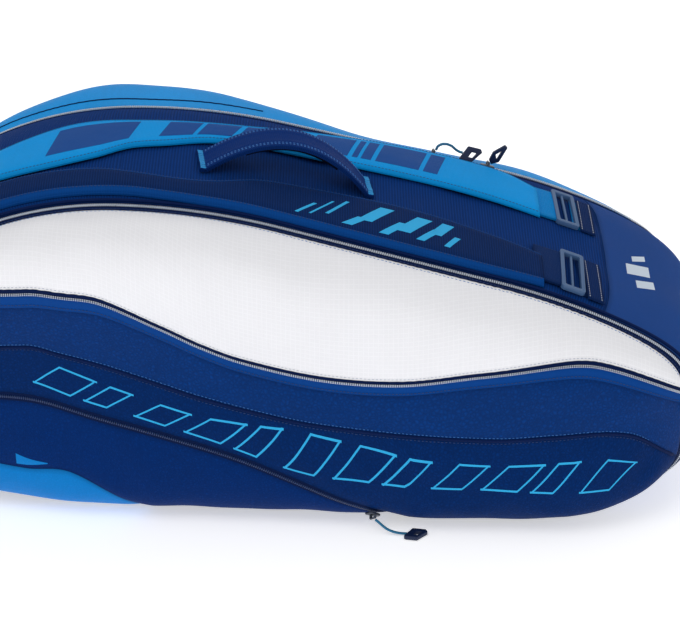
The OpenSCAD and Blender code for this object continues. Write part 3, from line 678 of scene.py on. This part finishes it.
def tube(name, body, line, radius, material, replaced=(), slot=None, count=260, sides=10, squeeze=1.0):
    """Round piping along line(t, lift)."""
    t = np.linspace(0, 1, count)
    p = line(t, 0.0)
    way = np.gradient(p, axis=0)
    way /= np.linalg.norm(way, axis=1, keepdims=True)
    up = line(t, 1.0) - p
    side = np.cross(way, up)
    side /= np.linalg.norm(side, axis=1, keepdims=True)
    up = np.cross(side, way)
    angle = np.linspace(0, 2 * math.pi, sides, endpoint=False)
    ring = (p[:, None] + radius * squeeze * np.cos(angle)[None, :, None] * side[:, None]
            + radius * np.sin(angle)[None, :, None] * up[:, None])
    i, j = np.meshgrid(np.arange(count - 1), np.arange(sides), indexing="ij")
    a, b = (i * sides + j).ravel(), (i * sides + (j + 1) % sides).ravel()
    faces = np.stack([a, a + sides, b + sides, b], -1).tolist()
    points = ring.reshape(-1, 3)
    faces.append(list(range(sides)))
    faces.append(list(range((count - 1) * sides, count * sides))[::-1])
    mesh = bpy.data.meshes.new(name)
    mesh.from_pydata((points * MM).tolist(), [], faces)
    return settle(finished(name, mesh, material), body, replaced, slot)


def decal(name, body, host, corners, material, slot, lift=0.18, thick=0.5):
    """Thin printed shape on a panel: corners are (station, q) pairs, in order round the shape."""
    (a0, q0), (a1, q1), (a2, q2), (a3, q3) = corners
    s, t = np.meshgrid(np.linspace(0, 1, 7), np.linspace(0, 1, 12), indexing="ij")
    a = (1 - t) * ((1 - s) * a0 + s * a1) + t * ((1 - s) * a3 + s * a2)
    q = (1 - t) * ((1 - s) * q0 + s * q1) + t * ((1 - s) * q3 + s * q2)
    outer, inner = host.point(a, q, lift), host.point(a, q, lift - thick)
    uv = np.stack([a, q * 60], -1).reshape(-1, 2)
    return settle(host.sheet(name, outer, inner, material, uv, np.ones(len(uv))), body, (), slot)


def joined(name, parts):
    """One object from several with the same material and body."""
    mesh = bmesh.new()
    for part in parts:
        mesh.from_mesh(part.data)
    merged = parts[0].data
    mesh.to_mesh(merged)
    mesh.free()
    for part in parts[1:]:
        data = part.data
        bpy.data.objects.remove(part)
        bpy.data.meshes.remove(data)
    parts[0].name = name
    return parts[0]


def polished(node, body, bevel, material):
    """Rounded copy of a moulded CAD piece, which it stands for."""
    shape = bmesh.new()
    shape.from_mesh(nodes[node].data)
    bmesh.ops.remove_doubles(shape, verts=shape.verts, dist=1e-6)
    bmesh.ops.dissolve_limit(shape, angle_limit=math.radians(2), verts=shape.verts, edges=shape.edges)
    hard = [e for e in shape.edges if len(e.link_faces) == 2 and e.calc_face_angle(0) > math.radians(35)]
    bmesh.ops.bevel(shape, geom=hard, offset=bevel * MM, segments=2, profile=0.5, affect="EDGES",
                    clamp_overlap=True)
    mesh = bpy.data.meshes.new(node + "_moulded")
    shape.to_mesh(mesh)
    shape.free()
    return settle(finished(node + "_moulded", mesh, material, 38), body, (node,))


# ---------- seam lines and the straps' edges: x and height, or x and distance from the middle ----------
WAVE = [
    (-375, 120), (-320, 180), (-270, 222), (-214, 235), (-184, 235), (-150, 232), (-101, 211),
    (-68, 194), (-34, 180), (34, 164), (102, 161), (170, 171), (238, 179), (272, 175), (322, 152),
    (375, 115),
]
SEAM = [
    (-375, 120), (-300, 168), (-218, 187), (-188, 181), (-154, 172), (-112, 157), (-70, 142),
    (-27, 130), (16, 120), (60, 114), (102, 110), (146, 108), (188, 108), (232, 111), (275, 112),
    (302, 106), (320, 94), (375, 40),
]
DIAGONAL = [
    (-375, 95), (-300, 124), (-222, 134), (-158, 118), (-71, 92), (-28, 76), (16, 55), (50, 37),
    (76, 24), (112, 4),
]
ACCENT = [
    (-375, 75), (-227, 59), (-185, 58), (-126, 13), (-108, 0),
]
REAR = [
    (-375, 150), (-235, 195), (-60, 155), (120, 125), (257, 122), (375, 90),
]
NEAR_LOW = [
    (-262, -88), (-128, -89), (-102, -91), (-60, -92.8), (188, -92.8), (226, -91),
]
NEAR_HIGH = [
    (-262, -50), (-160, -52.5), (-129, -58), (-86, -64), (-56, -60.5), (-16, -44.5), (34, -37),
    (90, -31.5), (138, -33), (190, -42), (226, -50),
]
FAR_LOW = [
    (-262, -40), (-205, -40), (-162, -28), (-132, -9), (-100, 0), (-60, 14), (60, 24.5), (150, 27),
    (230, 18),
]
FAR_HIGH = [
    (-262, 15), (-228, 27.5), (-180, 42), (-118, 44), (-30, 54), (14, 68), (80, 84), (134, 90),
    (198, 83), (230, 66),
]


def height(line, offset=0.0):
    """A seam line as an angle round the front."""
    return lambda x: turn_z(x, flow(line, x) + offset)


def top_edge(x):
    return turn_w(x, SHELL_EDGE)


def bottom_edge(x):
    return -turn_w(x, SHELL_EDGE)


def upper(*edges):
    return lambda x: np.maximum.reduce([e(x) for e in edges])


def lower(*edges):
    return lambda x: np.minimum.reduce([e(x) for e in edges])


def knotted(knots, offset=0.0):
    return lambda x: flow(knots, x) + offset


SHELL_E = math.sqrt(1 - (SHELL_EDGE / HALF_W) ** 4)
TURN = np.radians(np.linspace(0, 89.6, 60))
STATIONS = np.concatenate([
    (HEAD_X - HEAD_LEN * SHELL_E * np.sin(TURN))[::-1],
    np.linspace(HEAD_X, TAIL_X, 120)[1:-1],
    TAIL_X + TAIL_LEN * SHELL_E * np.sin(TURN),
])


def front_panel(low, high, relief, gap=0.006, mirror=False, x0=-400, x1=400):
    """Panel of a compartment's side, over the stations where it has some height."""
    room = high(STATIONS) - low(STATIONS)
    keep = STATIONS[(room > gap) & (STATIONS >= x0) & (STATIONS <= x1)]
    return Panel(round_front, keep[0], keep[-1], low, high, relief, mirror, keep, 3)


def front_line(line, offset, x0, x1, mirror=False):
    def place(t, lift):
        x = x0 + (x1 - x0) * t
        p = front(x, flow(line, x) + offset, -lift - 0.2)
        return p * MIRROR if mirror else p
    return place


def ring_line(w, side, s0=-2.98, s1=2.98, rise=0.0):
    """Line round the bag at w from the middle, on the front for side -1."""
    def place(t, lift):
        return loop(s0 + (s1 - s0) * t, np.full(np.shape(t), float(w)), -lift - rise) * [1, side, 1]
    return place


def edge_line(panel, distance, side, a0=None, a1=None):
    """Line at a distance inside a panel's low (0) or high (1) edge."""
    start, end = (panel.a0 if a0 is None else a0), (panel.a1 if a1 is None else a1)

    def place(t, lift):
        a = start + (end - start) * t
        tall = np.interp(a, panel.stations, panel.tall)
        q = distance / np.maximum(tall, 2 * distance)
        return panel.point(a, 1 - q if side else q, lift)
    return place


def cross_line(panel, a, first=0.03, reach=0.94):
    """Line across a panel at station a, from first over the given part of its width."""
    return lambda t, lift: panel.point(a + 0 * t, first + reach * t, lift)


def on_panel(panel, side):
    """Surface over a panel: stations along it, distances from its low edge or back from its high one."""
    def surface(a, b, t):
        tall = np.interp(a, panel.stations, panel.tall)
        return panel.point(a, 1 + b / tall if side else b / tall, -t)
    return surface


# ---------- front compartment ----------
white_panel = front_panel(
    height(WAVE, 3.6), top_edge,
    add(crown(2.2, 16), folds(1.5, 150, 4), folds(0.5, 46, 9), puckers(0.8, 7.5, 9, 1, 2),
        puckers(0.45, 9, 7, 0, 5)))
white_panel.build("white_panel", "front_shell", ("thermal_panel",), M["white"], columns=520, rows=76)
royal_panel = front_panel(
    upper(height(SEAM, 0.2), bottom_edge), lower(height(WAVE, -9.8), top_edge),
    add(crown(1.8, 8), folds(0.5, 60, 12), puckers(0.3, 8, 5, 0, 15)))
royal_panel.build("royal_panel", "pocket_cover", ("accessory_panel",), M["royal"], columns=380, rows=30)
pocket_panel = front_panel(
    upper(bottom_edge, height(DIAGONAL, 3.6)), lower(height(SEAM, -0.2), top_edge),
    add(crown(2.6, 14), folds(1.1, 120, 21), folds(0.4, 40, 22), puckers(0.4, 9, 6, 1, 23)))
pocket_panel.build("pocket_panel", "pocket_cover", ("lower_pocket_panel",), M["pocket"], columns=420, rows=70)
corner_panel = front_panel(
    upper(bottom_edge, height(ACCENT, 0.4)), height(DIAGONAL, -3.6),
    add(crown(1.6, 8), folds(0.6, 70, 31)), x1=99)
corner_panel.build("corner_panel", "pocket_cover", ("lower_corner_panel",), M["corner"], columns=240, rows=44)
accent_panel = front_panel(bottom_edge, height(ACCENT, 0.0), add(crown(1.4, 7), folds(0.5, 60, 41)), x1=-112)
accent_panel.build("accent_panel", "pocket_cover", ("corner_accent",), M["accent"], columns=140, rows=40)
tube("pocket_seam_piping", "pocket_cover", front_line(SEAM, 0, -343, 343), 1.5, M["piping"],
     ("pocket_seam_welt",))

foil = front_panel(height(WAVE, 5), lambda x: top_edge(x) * 0.985,
                   lambda u, low, high: -3.7 + 0.6 * ripple(u, low, 51, 60))
foil.build("front_lining", "front_shell", ("thermal_lining",), M["foil"], 0.8, 200, 40)


def bow(u, low, high):
    """Depth of the pocket's inner wall behind its cover."""
    q = low / np.maximum(low + high, 1e-6)
    return -3.6 - 12.4 * np.minimum(1, 2.4 * np.sin(math.pi * np.clip(q, 0, 1)))


back_wall = front_panel(lambda x: bottom_edge(x) * 0.97, lower(height(WAVE, -2), top_edge), bow,
                        x0=-308, x1=308)
back_wall.build("pocket_wall", "front_shell", ("pocket_back_wall",), M["lining"], 1.5, 160, 36)

# ---------- rear compartment ----------
rear_top = front_panel(height(REAR, 0.2), top_edge,
                       add(crown(2.0, 14), folds(1.2, 140, 61), puckers(0.5, 8, 8, 1, 62)), mirror=True)
rear_top.build("rear_top_panel", "rear_shell", ("rear_upper_panel",), M["cyan"], columns=420, rows=50)
rear_side = front_panel(bottom_edge, lower(height(REAR, -0.2), top_edge),
                        add(crown(2.4, 14), folds(1.2, 130, 71), folds(0.4, 44, 72),
                            puckers(0.4, 9, 6, 1, 73)),
                        mirror=True)
rear_side.build("rear_side_panel", "rear_shell", ("rear_lower_panel",), M["pocket"], columns=420, rows=70)
tube("rear_seam_piping", "rear_shell", front_line(REAR, 0, -343, 343, True), 1.5, M["piping"],
     ("rear_seam_welt",))
rear_foil = front_panel(lambda x: bottom_edge(x) * 0.97, lambda x: top_edge(x) * 0.985,
                        lambda u, low, high: -3.7 + 0.6 * ripple(u, low, 81, 60), mirror=True)
rear_foil.build("rear_inner_lining", "rear_shell", ("rear_lining",), M["lining"], 0.8, 160, 50)

# ---------- centre band ----------
BAND_EDGE = SPLIT_W - 3.4
# Places round the loop where the band's four pieces meet, and the seam between them
SPINE_FROM, SPINE_TO, BASE_FROM, SEAM_GAP = -1.44, 1.358, 2.8, 0.002


def band_panel(s0, s1, relief):
    return Panel(loop, s0, s1, const(-BAND_EDGE), const(BAND_EDGE), relief, stations=120)


spine = band_panel(SPINE_FROM, SPINE_TO, add(crown(0.7, 10), folds(0.7, 110, 101), folds(0.25, 35, 102)))
spine.build("spine_cloth", "core", ("spine_panel",), M["spine"], BAND_T, 460, 130)
head = band_panel(-2.998, SPINE_FROM - SEAM_GAP, add(crown(1.0, 10), folds(0.8, 100, 111)))
head.build("head_cloth", "core", ("head_end_panel",), M["spine"], BAND_T, 240, 110)
end_cap = band_panel(SPINE_TO + SEAM_GAP, BASE_FROM - SEAM_GAP, add(crown(1.2, 10), folds(0.8, 90, 121)))
end_cap.build("end_cloth", "core", ("handle_end_panel",), M["end"], BAND_T, 220, 110)
sole = band_panel(BASE_FROM, 4.999, flat)
sole.build("base_cloth", "core", ("base_panel",), M["base"], BAND_T, 240, 60)


DIVIDER_INSET, DIVIDER_T = 3.8, 6.0


def upright(x, z, t):
    return np.stack(np.broadcast_arrays(x, t - DIVIDER_T / 2, z), -1)


def divider_top(x):
    return over(x, 0.0 * x, DIVIDER_INSET)[..., 2]


def divider_bottom(x):
    e = np.maximum(1 - end_u(x, DIVIDER_INSET) ** 2, 0)
    return np.maximum(mid_z(x) - half_h(x, DIVIDER_INSET) * e ** (1 / 6) - SOLE_CUT, DIVIDER_INSET)


divider_x = np.concatenate([(HEAD_X - (HEAD_LEN - DIVIDER_INSET) * np.sin(TURN))[::-1],
                            np.linspace(HEAD_X, TAIL_X, 40)[1:-1],
                            TAIL_X + (TAIL_LEN - DIVIDER_INSET) * np.sin(TURN)])
quilted = Panel(upright, divider_x[0], divider_x[-1], divider_bottom, divider_top, flat, stations=divider_x)
quilted.build("divider_pad", "core", ("centre_divider",), M["divider"], DIVIDER_T, 200, 60,
              fill=0.5)

# ---------- main zips and their piping ----------
# Each: side, name, body, half of the gap between the tooth rows, their reach and rise, rise of the piping
for side, name, body, apart, reach, rise, welt_rise in (
    (-1, "front", "front_shell", 0.55, 1.05, 0.3, 0.9),
    (1, "rear", "rear_shell", 0.9, 1.7, 1.1, -0.4),
):
    mirror = side > 0
    ring = np.linspace(-2.998, 4.998, 300)
    for half, row_body, low, high in (("core", "core", 0.1 - SPLIT_W, 0.4 - BAND_EDGE),
                                      ("shell", body, -SHELL_EDGE - 0.4, -0.1 - SPLIT_W)):
        tape = Panel(loop, ring[0], ring[-1], const(low), const(high), level(0.1), mirror, ring)
        tape.build(name + "_tape_" + half, row_body, (name + "_zip_" + half,), M["navy_tape"], 0.9, 420, 5)
    for half, row_body, w in (("core", "core", SPLIT_W - apart), ("shell", body, SPLIT_W + apart)):
        teeth(name + "_teeth_" + half, row_body, ring_line(w, side, rise=rise), M["silver"], "zip_silver",
              reach=reach)
    tube(name + "_piping", "core", ring_line(94.6, side, rise=welt_rise), 1.5, M["piping"],
         (name + "_welt",), count=420)
    stitches(name + "_tape_stitches", body, ring_line(103.4, side, rise=0.35), M["dark_thread"], "welt", 3.2,
             (2.4, 0.7, 0.4))



def seam_stitches(name, body, host, inset, side, ends, thread, slot, pitch, wide, tall):
    """Stitches at a distance inside a panel's low (0) or high (1) edge, from one station to another."""
    stitches(name, body, edge_line(host, inset, side, *ends), M[thread], slot, pitch, (2.4, wide, tall))


seam_stitches("white_top_stitches", "front_shell", white_panel, 3.0, 1, (-338, 344), "thread", "white_fabric",
              3.6, 0.75, 0.4)
seam_stitches("white_low_stitches", "front_shell", white_panel, 2.6, 0, (-330, 340), "grey_thread",
              "white_fabric", 3.4, 0.7, 0.35)
seam_stitches("rear_top_stitches", "rear_shell", rear_top, 3.0, 1, (-338, 344), "dark_thread", "cyan_fabric",
              3.6, 0.75, 0.4)
tube("rear_top_seam", "rear_shell", edge_line(rear_top, 13.0, 1, -330, -20), 0.7, M["piping"], (),
     "cyan_fabric")
seam_stitches("royal_low_stitches", "pocket_cover", royal_panel, 2.6, 0, (-320, 320), "thread",
              "royal_fabric", 3.4, 0.6, 0.35)
seam_stitches("pocket_top_stitches", "pocket_cover", pocket_panel, 2.8, 1, (-320, 320), "dark_thread",
              "pocket_fabric", 3.4, 0.6, 0.35)

# ---------- pocket zips ----------
def zip_band(name, body, replaced, line, low, high, x0, x1, material, count=340):
    keep = STATIONS[(STATIONS >= x0) & (STATIONS <= x1)]
    strip = Panel(round_front, keep[0], keep[-1], height(line, low), height(line, high),
                  rounded(0.15, 0.25, 1.2), stations=keep, warp=3)
    strip.build(name, body, replaced, material, 1.0, count, 7)


zip_band("wave_tape_upper", "front_shell", ("wave_zip_upper",), WAVE, 0.15, 4.2, -343, 349, M["navy_tape"])
zip_band("wave_tape_lower", "pocket_cover", ("wave_zip_lower",), WAVE, -10.4, -0.15, -343, 349,
         M["blue_tape"])
teeth("wave_teeth_upper", "front_shell", front_line(WAVE, 0.6, -342, 348), M["silver"], "zip_silver",
      reach=1.15)
teeth("wave_teeth_lower", "pocket_cover", front_line(WAVE, -0.6, -342, 348), M["silver"],
      "zip_silver", reach=1.15)
stitches("wave_tape_stitches", "pocket_cover", front_line(WAVE, -8.4, -340, 345), M["dark_thread"],
         "zip_silver", 3.2, (2.2, 0.6, 0.45), -0.4)
zip_band("diagonal_tape", "pocket_cover", ("diagonal_zip",), DIAGONAL, -4.0, 4.0, -343, 88,
         M["navy_tape"], 260)
teeth("diagonal_teeth", "pocket_cover", front_line(DIAGONAL, 0.0, -340, 84), M["dark_coil"], "zip_dark",
      1.9, 3.4)

# ---------- shoulder straps ----------
def pad_shape(edge, rise, reach=11.0):
    """Height of a padded strap that rounds off to its edges."""
    def relief(u, low, high):
        def side(d):
            return np.sqrt(np.maximum(0, 1 - (1 - np.clip(d / reach, 0, 1)) ** 2))
        return edge + (rise - edge) * side(low) * side(high)
    return relief


def strap_panel(knots_low, knots_high, a0, a1, relief, inset=0.0):
    return Panel(over, a0, a1, knotted(knots_low, inset), knotted(knots_high, -inset), relief,
                 stations=140)


near_pad = strap_panel(NEAR_LOW, NEAR_HIGH, -262, 226, add(pad_shape(3.0, 7.4), folds(0.35, 60, 141)))
near_pad.build("near_pad", "core", ("near_strap_pad",), M["strap"], columns=420, under=0.8, fill=0.7)
far_pad = strap_panel(FAR_LOW, FAR_HIGH, -262, 230, add(pad_shape(4.4, 7.9), folds(0.35, 60, 151)))
far_pad.build("far_pad", "core", ("far_strap_pad",), M["cyan_strap"], columns=420, under=3.0, fill=0.7)
# Mesh backing under the far strap: a real underside layer, whose near-black colour is also a painted shadow
# under the raised strap.
far_shadow_backing = strap_panel(FAR_LOW, FAR_HIGH, -259, 227, level(2.9), 2.0)
far_shadow_backing.build("far_pad_shadow_backing", "core", ("far_strap_backing",), M["mesh"], 2.0, 200, 12)


def binding(name, host, side, material, slot, width=4.6, a0=None, a1=None, body="core"):
    """Folded tape that wraps a panel's edge."""
    start, end = (host.a0 if a0 is None else a0), (host.a1 if a1 is None else a1)
    low, high = ((-width, 0.9) if side else (-0.9, width))
    tape = Panel(on_panel(host, side), start, end, const(low), const(high),
                 rounded(0.15, 0.5, 0.7),
                 stations=160)
    tape.build(name, body, (), material, 1.6, 340, 9, slot=slot)
    inner = width - 1.2
    stitches(name + "_stitches", body, edge_line(host, inner, side, start + 1, end - 1),
             M["dark_thread"], slot, 3.2, (2.3, 0.6, 0.35), -0.55)


binding("near_low_binding", near_pad, 0, M["binding"], "strap_fabric")
binding("near_high_binding", near_pad, 1, M["binding"], "strap_fabric", 3.6)
binding("far_low_binding", far_pad, 0, M["cyan_strap"], "cyan_strap", 3.4)
binding("far_high_binding", far_pad, 1, M["cyan_strap"], "cyan_strap", 3.4)

yoke = Panel(over, -292, -262.3, const(-90), const(18), pad_shape(1.5, 4.9, 6), stations=30)
yoke.build("strap_yoke_cloth", "core", ("strap_yoke",), M["patch"], columns=60, rows=120, under=0.8, fill=0.5)
stitches("yoke_stitches", "core", cross_line(yoke, -287), M["thread"], "anchor_fabric")

def worn(rise, drop):
    """Relief of webbing whose two edges are lower by drop."""
    return lambda u, low, high: rise - drop * np.exp(-low / 0.8) - drop * np.exp(-high / 0.8)


WEB_W, LOCK_L = 50.0, 22.0
for name, middle, pad_end, lock_x, anchor_end, patch, web in (
    ("near", -60, 226, 252, 278, (264.5, 279), "navy_web"),
    ("far", 46, 230, 254, 280, (267, 281), "cyan_web"),
):
    sides = (const(middle - WEB_W / 2), const(middle + WEB_W / 2))
    reach = (pad_end - 6, lock_x - LOCK_L / 2 + 5.5)
    strap = Panel(over, *reach, *sides, worn(5.0, 0.7), stations=30)
    piece = strap.build(name + "_webbing", None, (), M[web], 1.8, 40, 60)
    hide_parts(name + "_strap_webbing")
    start = over(np.array(pad_end - 2.0), np.array(float(middle)), -4) * MM
    end = over(np.array(lock_x - LOCK_L / 2 + 1.0), np.array(float(middle)), -4) * MM
    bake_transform(piece)
    reach = (lock_x + LOCK_L / 2 - 4.5, anchor_end)
    anchor = Panel(over, *reach, *sides, worn(2.6, 0.5), stations=30)
    anchor.build(name + "_anchor_web", "core", (name + "_anchor_webbing",), M[web], 1.8, 40, 60)
    cover = Panel(over, *patch, const(middle - WEB_W / 2 - 3), const(middle + WEB_W / 2 + 3),
                  pad_shape(2.8, 4.2, 2.0), stations=30)
    cover.build(name + "_patch", "core", (name + "_anchor_patch",), M["patch"], columns=40, rows=80,
                under=2.7)
    for row in (0.14, 0.86):
        a = patch[0] + (patch[1] - patch[0]) * row
        stitches(name + "_patch_stitches_%d" % (row * 100), "core", cross_line(cover, a), M["grey_thread"],
                 "anchor_fabric", 3.2, (2.3, 0.7, 0.4))
    polished(name + "_ladder_lock", name + "_ladder_lock", 0.7, M["buckle"])

# ---------- carry handle ----------
HANDLE_X, HANDLE_SPAN, HANDLE_RISE, HANDLE_W = -67.0, 139.0, 34.0, 38.0
WEB_RISE, HANDLE_FOOT = 3.0, 22.0
handle_from = over(np.array(HANDLE_X), np.array(-24.0), -1.6)
handle_to = over(np.array(HANDLE_X + HANDLE_SPAN), np.array(-6.5), -1.6)
CHORD = float(np.linalg.norm(handle_to - handle_from))
handle_x = (handle_to - handle_from) / CHORD
handle_z = np.cross(handle_x, [0, 1, -0.06])
handle_z /= np.linalg.norm(handle_z)
handle_y = np.cross(handle_z, handle_x)


def arch(x, w, t):
    """The handle's arch: x along the chord, w across, t below its upper face."""
    x, w, t = np.broadcast_arrays(x, w, t)
    rise = HANDLE_RISE * np.maximum(0, 1 - (2 * x / CHORD - 1) ** 2)
    slope = np.where((x > 0) & (x < CHORD), -4 * HANDLE_RISE / CHORD * (2 * x / CHORD - 1), 0)
    lean = 1 / np.sqrt(1 + slope**2)
    lift = WEB_RISE - t
    return (handle_from + (x - slope * lean * lift)[..., None] * handle_x + w[..., None] * handle_y
            + (rise + lean * lift)[..., None] * handle_z)


def rolled(u, low, high):
    """Relief of webbing with a ridge 9 mm inside each edge."""
    ridges = np.exp(-((low - 9) / 3) ** 2) + np.exp(-((high - 9) / 3) ** 2)
    return -1.0 * np.exp(-low / 1.0) - 1.0 * np.exp(-high / 1.0) + 0.5 * ridges


half = HANDLE_W / 2
grip = Panel(arch, -6.0, CHORD + 6.0, const(-half), const(half), rolled, stations=160)


def on_handle(obj):
    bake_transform(obj)
    return obj


web = grip.build("handle_web", None, (), M["web"], 2.8, 260, 60)
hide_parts("carry_handle", "handle_tabs")
on_handle(web)
for k, q in enumerate((0.09, 0.15, 0.85, 0.91)):
    on_handle(stitches("handle_stitches_%d" % k, None,
                       lambda t, lift, q=q: grip.point(2 + (CHORD - 4) * t, q + 0 * t, lift),
                       M["thread"], None, 3.2, (2.3, 0.7, 0.4)))
PAD_INSET = HANDLE_FOOT + 8
under = Panel(lambda x, w, t: arch(x, w, t + WEB_RISE + 0.1), PAD_INSET, CHORD - PAD_INSET,
              const(-half + 3), const(half - 3), stations=60)
under.build("handle_pad", "carry_handle", ("handle_padding",), M["mesh"], 3.3, 80, 40, fill=0.6)
rows = []
TACK_ROWS, TACK_PITCH = 6, 0.88
for x0 in (-5.2, CHORD + 0.2):
    for k in range(TACK_ROWS):
        x = x0 + 0.3 + TACK_PITCH * k
        rows.append(stitches("bartack", "core", cross_line(grip, x, 0.02, 0.96), M["cyan_thread"],
                             "cyan_thread", 2.9, (2.8, 0.95, 0.6), 0.1))
tacks = joined("handle_bartack_threads", rows)
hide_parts("handle_bartacks")

# ---------- printed shapes ----------
def printed(name, body, host, shapes, material, slot):
    """One piece from several printed shapes, each a list of corners."""
    return joined(name, [decal("shape", body, host, corners, M[material], slot) for corners in shapes])


def front_q(panel, x, z):
    """How far up a panel the height z lies at x, from 0 to 1."""
    return panel.q_of(x, float(turn_z(np.array(float(x)), np.array(float(z)))))


BAND_TOP = [[-202, 185], [-155, 165], [-70, 135], [16, 123], [102, 102], [189, 94], [276, 98], [321, 86]]
BAND_LOW = [[-222, 147], [-157, 124], [-71, 96], [16, 63], [103, 52], [190, 51], [284, 48], [321, 46]]
outlines = []
BARS, FIRST_BAR, BAR_PITCH, BAR_WIDTHS = 12, -214, 43, (32, 20, 27)
for k in range(BARS):
    x0, wide, slant, line = FIRST_BAR + BAR_PITCH * k, BAR_WIDTHS[k % 3], 24, 1.9
    low, high = {}, {}
    for x in (x0, x0 + wide):
        low[x] = front_q(pocket_panel, x, flow(BAND_LOW, x) + 7)
        top_x = x + slant
        high[x] = min(front_q(pocket_panel, top_x, flow(BAND_TOP, top_x) - 10), 0.92)
    right = x0 + wide
    thin = line / float(np.interp(x0, pocket_panel.stations, pocket_panel.tall))
    for corners in (
        [(x0, low[x0]), (x0 + line, low[x0]), (x0 + slant + line, high[x0]), (x0 + slant, high[x0])],
        [(right - line, low[right]), (right, low[right]), (right + slant, high[right]),
         (right + slant - line, high[right])],
        [(x0, low[x0]), (right, low[right]), (right, low[right] + thin), (x0, low[x0] + thin)],
        [(x0 + slant, high[x0] - thin), (right + slant, high[right] - thin), (right + slant, high[right]),
         (x0 + slant, high[x0])],
    ):
        outlines.append(corners)
printed("pocket_print", "pocket_cover", pocket_panel, outlines, "film", "cyan_fabric")
tip = [(x, front_q(corner_panel, x, z)) for x, z in ((-234, 65), (-206, 67.6), (-206, 68.6), (-234, 77))]
decal("corner_tip_print", "pocket_cover", corner_panel, tip, M["accent"], "cyan_fabric")

blocks = []
for x0, x1 in ((-205, -134), (-108, -79), (-75, -45), (-40, -8), (22, 57), (61, 66), (69, 78), (82, 121),
               (125, 138)):
    blocks.append([(x0, 0.2), (x1, 0.2), (x1 + 9, 0.84), (x0 + 9, 0.84)])
printed("far_strap_print", "core", far_pad, blocks, "deep_film", "cyan_strap")

shards = []
for x0, wide, q0, q1, slant in (
    (12, 3, 0.16, 0.5, 16), (24, 2, 0.2, 0.66, 20), (38, 3, 0.3, 0.74, 18), (52, 9, 0.16, 0.4, 14),
    (66, 12, 0.34, 0.78, 20), (84, 8, 0.14, 0.5, 18), (98, 13, 0.3, 0.76, 20), (116, 7, 0.2, 0.55, 16),
    (128, 10, 0.42, 0.78, 12), (140, 5, 0.2, 0.5, 10),
):
    shards.append([(x0, q0), (x0 + wide, q0), (x0 + wide + slant, q1), (x0 + slant, q1)])
printed("near_strap_print", "core", near_pad, shards, "film", "strap_fabric")

marks = []
for w0, w1, s0, s1 in ((-38, -26, 1.47, 1.55), (-20, -4, 1.44, 1.54), (4, 12, 1.47, 1.53)):
    q0, q1 = (w0 + BAND_EDGE) / (2 * BAND_EDGE), (w1 + BAND_EDGE) / (2 * BAND_EDGE)
    marks.append([(s0, q0), (s1, q0 + 0.05), (s1, q1 + 0.05), (s0, q1)])
printed("end_cap_print", "core", end_cap, marks, "pale_film", "end_fabric")

# ---------- sliders, cords and pulls ----------
for name in ("rear_left", "rear_right", "front", "pocket", "diagonal"):
    polished(name + "_slider", name + "_slider", 0.25, M["slider"])
    pull = polished(name + "_pull", name + "_pull", 0.6, M["rubber"])
    if name in ROUTES:
        lay, points = ROUTES[name]
        obj, length, line = rope(name + "_pull_rope", points, CORD_D)
        obj.data.materials.append(M["cord"])
        settle(obj, name + "_pull", (name + "_cord",))

# ---------- floor and light ----------
floor_mesh = bpy.data.meshes.new("floor")
floor_mesh.from_pydata([(x * 12, y * 12, -0.0005) for x, y in ((-1, -1), (1, -1), (1, 1), (-1, 1))], [],
                       [(0, 1, 2, 3)])
floor = linked("floor", floor_mesh)
plain = Paint("floor_paint")
floor_mesh.materials.append(plain.finish((0.93, 0.93, 0.94, 1), 0.8, None, Specular_IOR_Level=0.1,
                                          Emission_Color=(1, 1, 1, 1), Emission_Strength=0.5))

world = bpy.data.worlds.new("studio")
world.use_nodes = True
world.node_tree.nodes["Background"].inputs[0].default_value = (1, 1, 1, 1)
world.node_tree.nodes["Background"].inputs[1].default_value = 0.53
bpy.context.scene.world = world


def softbox(name, place, aim, size, power):
    data = bpy.data.lights.new(name, "AREA")
    data.shape, data.size, data.size_y, data.energy = "RECTANGLE", size[0], size[1], power
    lamp = linked(name, data)
    lamp.location = place
    lamp.rotation_euler = (Vector(aim) - Vector(place)).to_track_quat("-Z", "Y").to_euler()


softbox("key", (-0.9, -1.6, 2.6), (0, 0, 0.15), (1.6, 1.2), 19)
softbox("fill", (1.8, -1.4, 1.4), (0, 0, 0.12), (1.2, 1.2), 5)
softbox("back", (0.2, 1.9, 2.2), (0, 0, 0.2), (2.0, 1.0), 9)
bpy.context.scene.view_settings.view_transform = "Standard"
bpy.context.scene.view_settings.look = "None"
